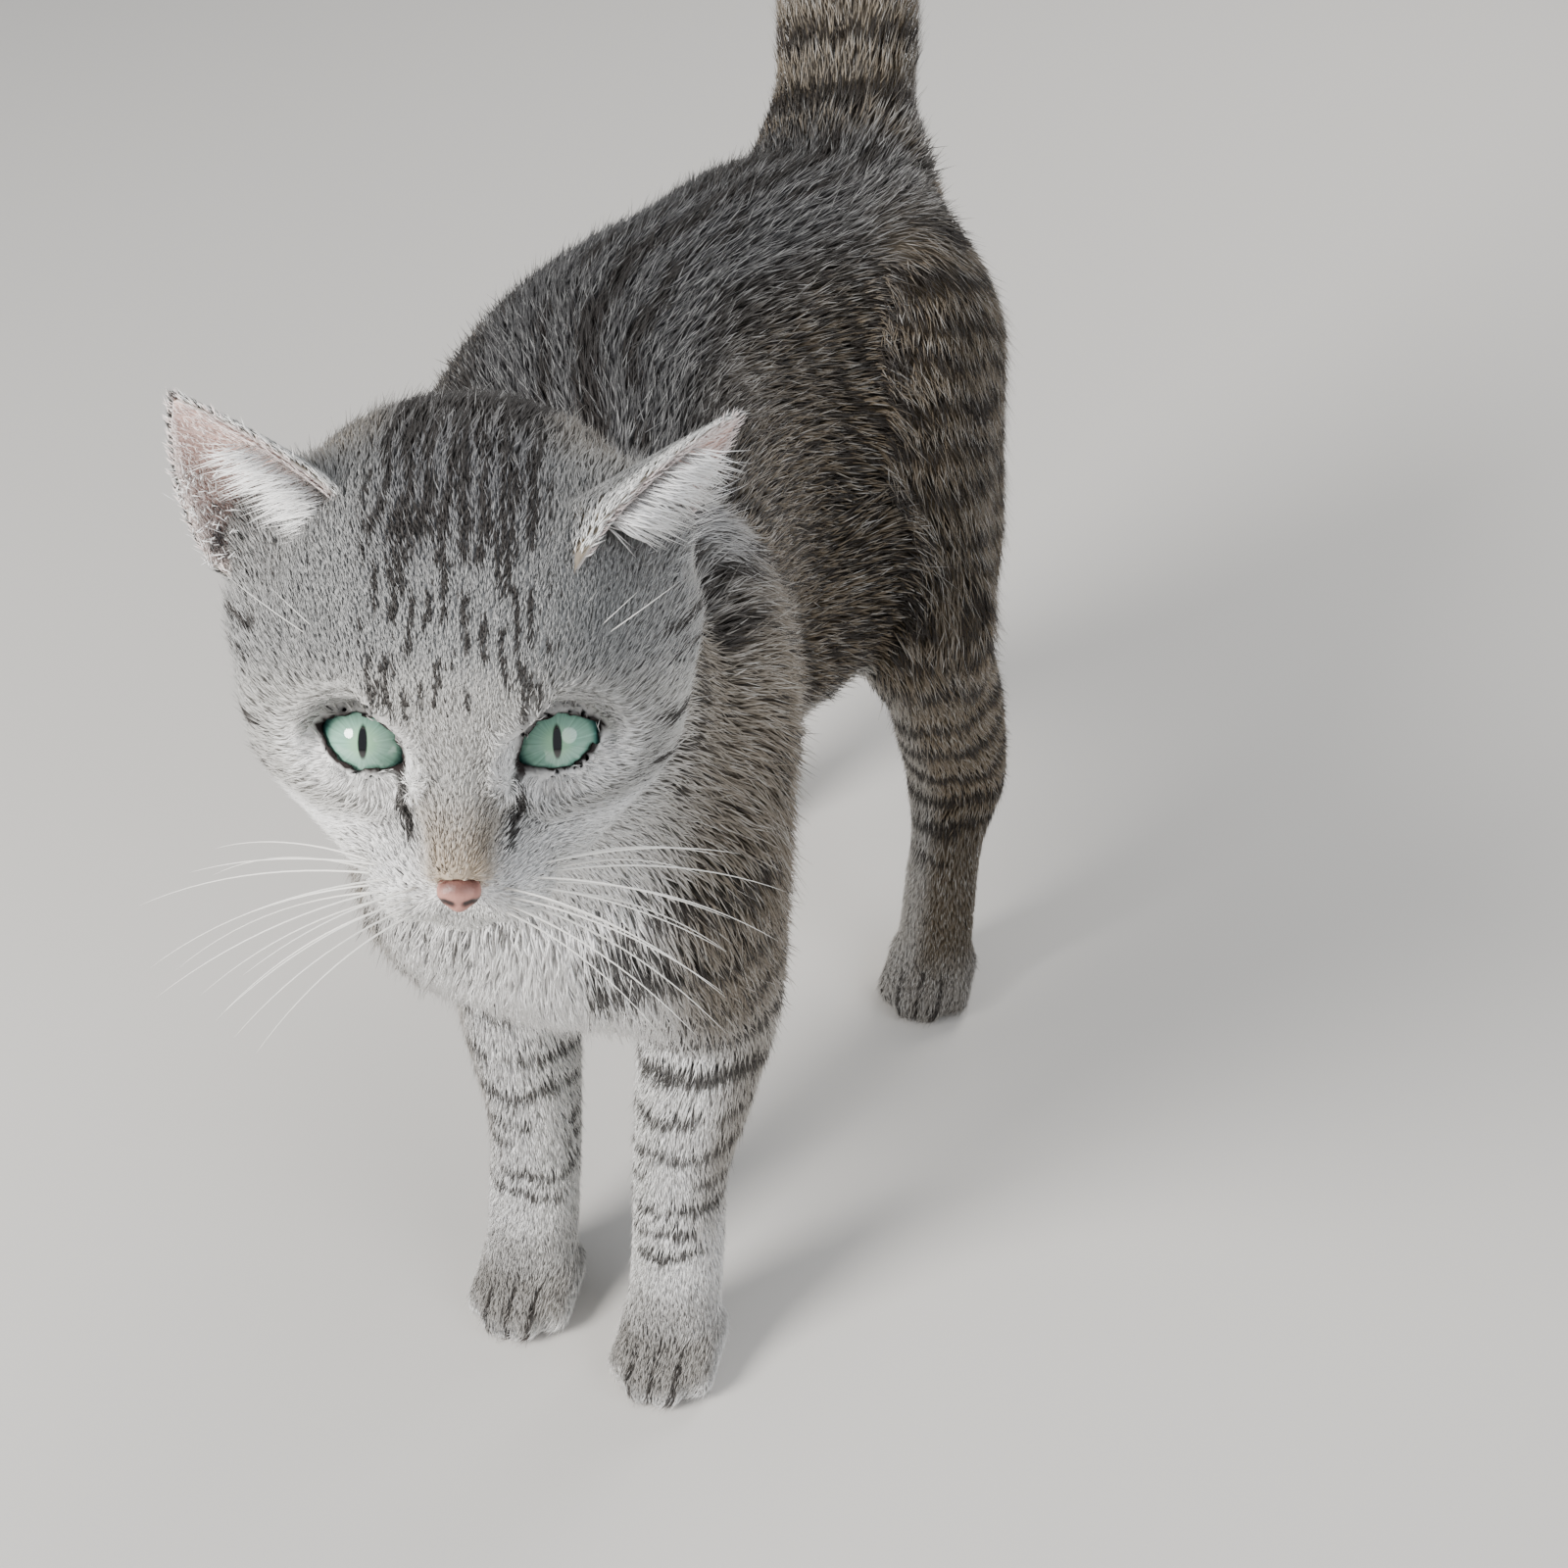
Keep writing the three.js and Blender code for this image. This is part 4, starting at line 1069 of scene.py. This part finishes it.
def bare_skin(p, normal):
    """True where no hair grows: the lids, the nose, the soles and the line of the mouth."""
    out = (nose_field(head_skin) < 0.9) | (mouth < 1.0) | ((p[:, 2] < 2.2) & (normal[:, 2] < -0.5))
    for s, (centre, gaze, _, _) in EYES.items():
        near = np.linalg.norm(p - centre, axis=1) < LID_REACH
        out |= near & ((p - centre) @ gaze > 0) & (lid_edge(p, s) < 1.3)
    return out


length_of, width_of = coat_sizes(skin_depth)
cover = 2.0 + 0.6 * ramp(1.6, 4.0, skin_depth)
density = np.where(bare_skin(skin_points, skin_normals), 0, cover / (0.5 * length_of * width_of))

corners, weights = scatter(skin_points, skin_quads, density, TUFTS)
root = at(skin_points, corners, weights)
normal = unit(at(skin_normals, corners, weights))
way = at(skin_flow, corners, weights)
way = unit(way - normal * (way * normal).sum(1)[:, None])
depth = at(skin_depth, corners, weights)
found = survey(root)
shares = belongings(root, found)
ground, dark = body_marks(root, normal, found, shares)
length, width = coat_sizes(depth)
length = length * (0.75 + 0.5 * chance.random(TUFTS))
width = width * (0.75 + 0.5 * chance.random(TUFTS))
low = depth * 0.50 * (0.8 + 0.45 * chance.random(TUFTS))
# guard hairs: longer, thinner and higher than the rest
guard = chance.random(TUFTS) < GUARD_SHARE
length, width = length * np.where(guard, 1.6, 1), width * np.where(guard, 0.55, 1)
high = depth * (0.70 + 0.32 * chance.random(TUFTS) ** 2) * np.where(guard, 1.45, 1)
tints = tuft_tints(ground, dark, TUFTS, depth, 0.22 + 0.18 * shares["head"])

where = np.array(list(shares))[np.argmax(np.stack(list(shares.values())), 0)]
h = in_head(root)
on_head, on_trunk = where == "head", np.isin(where, ("trunk", "flank"))
behind, left_half = h[:, 1] >= -2, found["trunk"][2] >= 0
# each region of the coat: the tufts in it, and the chain whose unwrap it takes
regions = {
    "coat_face": (on_head & ~behind, None),
    "coat_crown_left": (on_head & behind & (h[:, 0] >= 0), None),
    "coat_crown_right": (on_head & behind & (h[:, 0] < 0), None),
    "coat_neck": (np.isin(where, ("neck", "throat")), "throat"),
    "coat_trunk_left": (on_trunk & left_half, "trunk"),
    "coat_trunk_right": (on_trunk & ~left_half, "trunk"),
    "coat_tail": (where == "tail", "tail"),
}
regions.update({f"coat_{name}": (where == name, name) for name in FEET})


def unwrap(chain_name, chosen):
    """Place of each root on an unwrap of its region: angle round it and length along it; on the
    head, the longitude and the latitude."""
    if chain_name is None:
        g = h[chosen] - (0, 20, -5)
        return np.arctan2(g[:, 0], -g[:, 1]), np.arctan2(g[:, 2], np.hypot(g[:, 0], g[:, 1]))
    _, along, angle, _ = found[chain_name]
    return angle[chosen], (root[:, 2] if "leg" in chain_name else along)[chosen]


tufts = (root, normal, way, length, width, low, high)
for name, (mask, chain_name) in regions.items():
    pick = np.flatnonzero(mask)
    parts = -(-len(pick) * 6 // MOST_TRIANGLES)
    for part in range(parts):
        chosen = pick[part::parts]
        u, v = unwrap(chain_name, chosen)
        points, faces = spikes(*[values[chosen] for values in tufts], TUFT_SWAY)
        tint = tints.reshape(-1, 5, 3)[chosen].reshape(-1, 3)
        label = name if parts == 1 else f"{name}_{part + 1}"
        piece = make(label, points, faces, tint, patches(even(u), even(v)), fur)

# ------------------------------------------------------------------ hair of the ears


def short_ear_hair(s, points, quads, facts, axis, normals):
    """Short hair all over an ear: grey behind, darker to the tip and cream along its inner rim, and
    thin pink to white inside, mottled near the foot. Returns spikes, tints and patches."""
    v, u, inner = facts.T
    density = np.where(v < -0.2, 0, 2.2 - 1.4 * inner * ramp(0.9, 0.5, np.abs(u)))
    corners, weights = scatter(points, quads, density, None)
    root = at(points, corners, weights)
    normal = unit(at(normals, corners, weights))
    v, u, inner = at(facts, corners, weights).T
    way = unit(axis - normal * (normal @ axis)[:, None])
    inside = inner > 0.5
    n = len(root)
    length = np.where(inside, 3.2, 3.4) * (0.7 + 0.6 * chance.random(n))
    outer = mix(BROW * 0.85, DARK, 0.45 * ramp(0.5, 0.9, v))
    outer = mix(outer, CREAM, ramp(0.80, 0.92, s * u))
    mottle = ramp(0.3, 0.9, ripple(root, 7, 51)) * ramp(0.34, 0.16, v) * ramp(0.1, 0.5, -s * u)
    ground = np.where(inside[:, None], mix((PINK + WHITE) / 2, SLATE, 0.8 * mottle), outer)
    low, high = 0.5 + 0.3 * chance.random(n), 0.7 + 0.5 * chance.random(n)
    hair = spikes(root, normal, way, length, np.full(n, 0.42), low, high, 0.2)
    tints = tuft_tints(ground, np.where(inside, -1.0, 0.15), n, np.full(n, 2.0))
    return hair, tints, patches(even(u + 2.5 * inside), even(v))


def long_ear_hair(s, points, facts, axis, out, n=420):
    """Long white hairs rooted along both edges of the cup, most on the inner one, crossing it."""
    u = np.where(chance.random(n) < 0.7, s, -s) * (1 - 0.5 * chance.random(n) ** 2)
    v = 0.02 + 0.62 * chance.random(n) ** 1.3
    heights = facts[:, 0].reshape(EAR_ROWS + 1, 2 * EAR_COLUMNS)[:, 0]
    row = np.interp(v, heights, np.arange(EAR_ROWS + 1)).astype(int).clip(0, EAR_ROWS - 1)
    column = 2 * EAR_COLUMNS - 1 - (u + 1) / 2 * (EAR_COLUMNS - 1)
    column = column.astype(int).clip(EAR_COLUMNS, 2 * EAR_COLUMNS - 2)
    root = points.reshape(EAR_ROWS + 1, 2 * EAR_COLUMNS, 3)[row, column]
    way = unit(axis * 0.55 - np.cross(out, axis) * np.sign(u)[:, None] * 0.75 + out * 0.5)
    length = (9 + 9 * chance.random(n)) * (1 - 0.4 * v)
    low, high = 1.5 + 2 * chance.random(n), 3 + 3 * chance.random(n)
    hair = spikes(root, np.tile(out, (n, 1)), way, length, np.full(n, 0.5), low, high, 0.25)
    tints = tuft_tints(np.tile(WHITE, (n, 1)), np.full(n, -1.0), n, np.full(n, 2.0))
    return hair, tints, patches(even(u), even(v))


for s, (points, quads, facts, axis, out) in ears.items():
    runs = [short_ear_hair(s, points, quads, facts, axis, normals_of(points, quads)),
            long_ear_hair(s, points, facts, axis, out)]
    hair, tint, uv = zip(*runs)
    piece = make("coat_ear_left" if s > 0 else "coat_ear_right", *joined(hair), np.concatenate(tint),
                 np.concatenate(uv), fur)

# ------------------------------------------------------------------ eyes

IRIS = linear(136, 180, 160)
IRIS_IN = linear(150, 196, 160)
IRIS_OUT = linear(70, 120, 112)
IRIS_RING = linear(20, 18, 18)
PUPIL = linear(6, 7, 8)
PUPIL_WIDTH, PUPIL_HEIGHT = 0.95, 3.5
IRIS_WAVES = (23, 31, 41, 57, 73)


def eyeball(s, rings=110, spokes=220):
    """A ball whose pole looks along the gaze, r = R + 0.7 (1 - (a/42)^2)^2 over the cornea.

    The iris is coloured by the distances x, y from the gaze: a slit pupil (x/w)^2 + (y/h)^2 < 1,
    spokes of light and shade, and a dark ring outside 9.1 mm.
    """
    centre = EYES[s][0]
    gaze = unit(head_direction(s * math.sin(PUPIL_OUTWARD), -math.cos(PUPIL_OUTWARD), math.tan(PUPIL_UPWARD)))
    up = unit(HEAD[2] - gaze * (HEAD[2] @ gaze))
    out = np.cross(up, gaze)
    a = np.pi * (np.arange(rings + 1) / rings)[:, None] ** 1.35
    b = 2 * np.pi * (np.arange(spokes) / spokes)[None]
    bulge = 0.7 * np.clip(1 - (a / np.radians(42)) ** 2, 0, 1) ** 2
    r = EYEBALL_RADIUS + bulge
    x, y, z = r * np.sin(a) * np.cos(b), r * np.sin(a) * np.sin(b), r * np.cos(a) + 0 * b
    points = centre + x[..., None] * out + y[..., None] * up + z[..., None] * gaze
    off = np.hypot(x, y) + 20 * (z < 0)
    x, y, z, off, b = (values.ravel() for values in np.broadcast_arrays(x, y, z, off, b))
    tint = mix(IRIS, IRIS_IN, ramp(4.5, 1.5, off))
    tint = mix(tint, IRIS_OUT, ramp(6.8, 9.0, off))
    rng = np.random.default_rng(5)
    spoke = sum(np.sin(b * k + rng.uniform(0, 6.3)) / 3.2 for k in IRIS_WAVES)
    tint = tint * (1 + 0.16 * spoke * ramp(1.5, 4.0, off))[:, None]
    slit = (x / PUPIL_WIDTH) ** 2 + (y / PUPIL_HEIGHT) ** 2
    tint = mix(tint, PUPIL, ramp(1.5, 0.8, slit) * (z > 0))
    tint = mix(tint, IRIS_RING, ramp(9.1, 9.9, off))
    return points.reshape(-1, 3), grid_quads(rings, spokes)[:, FLIPPED], tint


for s, node in ((1, "eye_left"), (-1, "eye_right")):
    points, quads, tint = eyeball(s)
    eye = make(node.replace("eye", "eyeball"), points, quads, tint, material=wet)
    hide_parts(node)

# ------------------------------------------------------------------ nose leather

NOSE_PINK = linear(176, 126, 114)
NOSE_EDGE = linear(112, 76, 68)
NOSTRIL_SHADE = linear(40, 22, 20)

nose_axes = [spaced((-8, 8, 0.42)), spaced((-44, -30, 0.42)), spaced((-26, -11, 0.42))]
nose_points, nose_quads = net(nose_field, nose_axes, 4.0)
nose_points = settle(nose_field, nose_points, 2, 0.4)
q = folded(nose_points - NOSE_MIDDLE)
# painted shade in the nostrils: dark along their grooves
nostril_shade = ramp(1.5, 0.4, np.minimum(rod(q, (1.6, -2.9, -0.9), (2.8, -2.6, -0.5), 0),
                                    rod(q, (2.8, -2.6, -0.5), (4.4, -1.2, -1.3), 0)))
tint = mix(NOSE_PINK, NOSE_EDGE, ramp(1.0, 3.0, q[:, 2]))
tint = mix(tint, NOSTRIL_SHADE, nostril_shade)
nose = make("nose_leather", nose_points @ HEAD + HEAD_ORIGIN, nose_quads, tint, material=leather)
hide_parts("nose")

# ------------------------------------------------------------------ whiskers


def strand(start, way, sag, length, radius, steps=14, sides=5):
    """A tapering hair: start + way t L + sag t^2 L, radius r (1 - t)^0.7."""
    t = np.linspace(0, 1, steps)
    line = start + np.outer(t * length, way) + np.outer(t**2 * length, sag)
    tangent = unit(np.gradient(line, axis=0))
    side = unit(np.cross(tangent, (0.1, 0.3, 1.0)))
    other = np.cross(tangent, side)
    r = radius * (1 - t) ** 0.7 + 0.02
    b = np.arange(sides) * 2 * np.pi / sides
    round_it = np.cos(b)[None, :, None] * side[:, None] + np.sin(b)[None, :, None] * other[:, None]
    ring = line[:, None] + r[:, None, None] * round_it
    first = np.stack([np.zeros(sides - 2, int), np.arange(2, sides), np.arange(1, sides - 1)], 1)
    caps = np.concatenate([first, first[:, ::-1] + (steps - 1) * sides])
    return ring.reshape(-1, 3), np.concatenate([halves(grid_quads(steps - 1, sides)), caps])


strands = []
for s in (1, -1):
    for row in range(4):
        for k in range(4):
            if row in (0, 3) and k == 3:
                continue
            at_pad = (s * (9.5 + 2.4 * k), -31.5 + 3.4 * k, -21.5 - 2.3 * row)
            lean = 0.25 - 0.20 * row + 0.05 * chance.normal()
            back = -0.35 + 0.32 * k + 0.06 * chance.normal()
            way = unit(head_direction(s, back, lean * 0.5 - 0.1))
            sag = head_direction(s * -0.05, 0.10, -0.34 - 0.05 * row)
            length = (66 - 7 * abs(k - 2) - 5 * abs(row - 1.5)) * chance.uniform(0.85, 1.05)
            strands.append(strand(head_point(*at_pad), way, sag, length, 0.28))
    for k in range(4):
        at_brow = (s * (13 + 2.2 * k), -7 + 1.2 * k, 14 + 1.2 * (k % 2))
        way = unit(head_direction(s * (0.15 + 0.22 * k), -0.55, 1.0))
        sag = head_direction(s * 0.1, 0.55, -0.25)
        strands.append(strand(head_point(*at_brow), way, sag, 30 + 3 * k, 0.2))
whiskers = make("whiskers", *joined(strands), material=stiff)

# ------------------------------------------------------------------ pads of the paws


def pad_shape(centre, radii, rings=10, spokes=20):
    """Half-buried cushion: an ellipsoid whose underside is flat on the floor."""
    a = np.linspace(0, np.pi, rings + 1)[1:-1, None]
    b = np.arange(spokes) * 2 * np.pi / spokes
    p = np.stack([np.sin(a) * np.cos(b), np.sin(a) * np.sin(b), np.cos(a) + 0 * b], -1) * radii + centre
    p[..., 2] = np.maximum(p[..., 2], 0.02)
    top, bottom = np.array(centre) + (0, 0, radii[2]), np.array([centre[0], centre[1], 0.02])
    points = np.concatenate([p.reshape(-1, 3), [top], [bottom]])
    quads = grid_quads(rings - 2, spokes)[:, FLIPPED]
    r = np.arange(spokes)
    last = (rings - 2) * spokes
    end = len(points)
    caps = np.concatenate([
        np.stack([np.full(spokes, end - 2), r, (r + 1) % spokes], 1),
        np.stack([np.full(spokes, end - 1), last + (r + 1) % spokes, last + r], 1)])
    return points, np.concatenate([halves(quads), caps])


cushions = []
for x, toe in FEET.values():
    for spread, lag in zip(TOE_SPREADS, TOE_LAG):
        cushions.append(pad_shape((x + spread, toe + lag + 8, 1.4), (3.6, 4.8, 2.2)))
    cushions.append(pad_shape((x, toe + 25, 1.4), (9.5, 7.5, 2.4)))
pads = make("paw_pads", *joined(cushions), material=pad)

# ------------------------------------------------------------------ floor, lights and camera

# the lens stands here from the floor point between the forepaws, and looks level, then down
LENS_PLACE = np.array([194.99, -462.96, 575.0])
LENS_DOWN = math.radians(35.3)
LENS_LEVEL = (-0.2756, 0.9613)

floor_mesh = bpy.data.meshes.new("floor")
floor_mesh.from_pydata([(-4, -4, 0), (4, -4, 0), (4, 4, 0), (-4, 4, 0)], [], [(0, 1, 2, 3)])
floor = bpy.data.objects.new("floor", floor_mesh)
bpy.context.scene.collection.objects.link(floor)
floor_mesh.materials.append(surface("floor", 0.7, colour=(0.62, 0.60, 0.57)))

level = math.cos(LENS_DOWN)
looking = Vector((LENS_LEVEL[0] * level, LENS_LEVEL[1] * level, -math.sin(LENS_DOWN)))
camera = bpy.data.objects.new("camera", bpy.data.cameras.new("camera"))
camera.data.lens = 55.26
camera.data.sensor_width = 36
camera.data.clip_start = 0.02
camera.location = (LENS_PLACE + shift) / 1000
camera.rotation_mode = "QUATERNION"
camera.rotation_quaternion = looking.to_track_quat("-Z", "Y")
bpy.context.scene.collection.objects.link(camera)
bpy.context.scene.camera = camera


def soft_light(name, place, target, size, power, colour):
    """A round lamp at place, turned to target."""
    lamp = bpy.data.lights.new(name, "AREA")
    lamp.shape = "DISK"
    lamp.size = size
    lamp.energy = power
    lamp.color = colour
    ob = bpy.data.objects.new(name, lamp)
    ob.location = place
    ob.rotation_mode = "QUATERNION"
    ob.rotation_quaternion = (Vector(target) - Vector(place)).to_track_quat("-Z", "Y")
    bpy.context.scene.collection.objects.link(ob)


soft_light("key", (-0.85, -1.25, 1.05), (0, 0, 0.18), 0.7, 56, (1.0, 0.98, 0.95))
soft_light("fill", (1.3, -0.7, 0.9), (0, 0, 0.2), 1.2, 12, (0.95, 0.97, 1.0))
soft_light("back", (0.4, 1.5, 1.3), (0, 0.05, 0.25), 1.0, 20, (1.0, 0.97, 0.93))
world = bpy.data.worlds.new("room")
world.use_nodes = True
backdrop = world.node_tree.nodes["Background"]
backdrop.inputs["Color"].default_value = (0.80, 0.85, 0.92, 1)
backdrop.inputs["Strength"].default_value = 0.48
bpy.context.scene.world = world
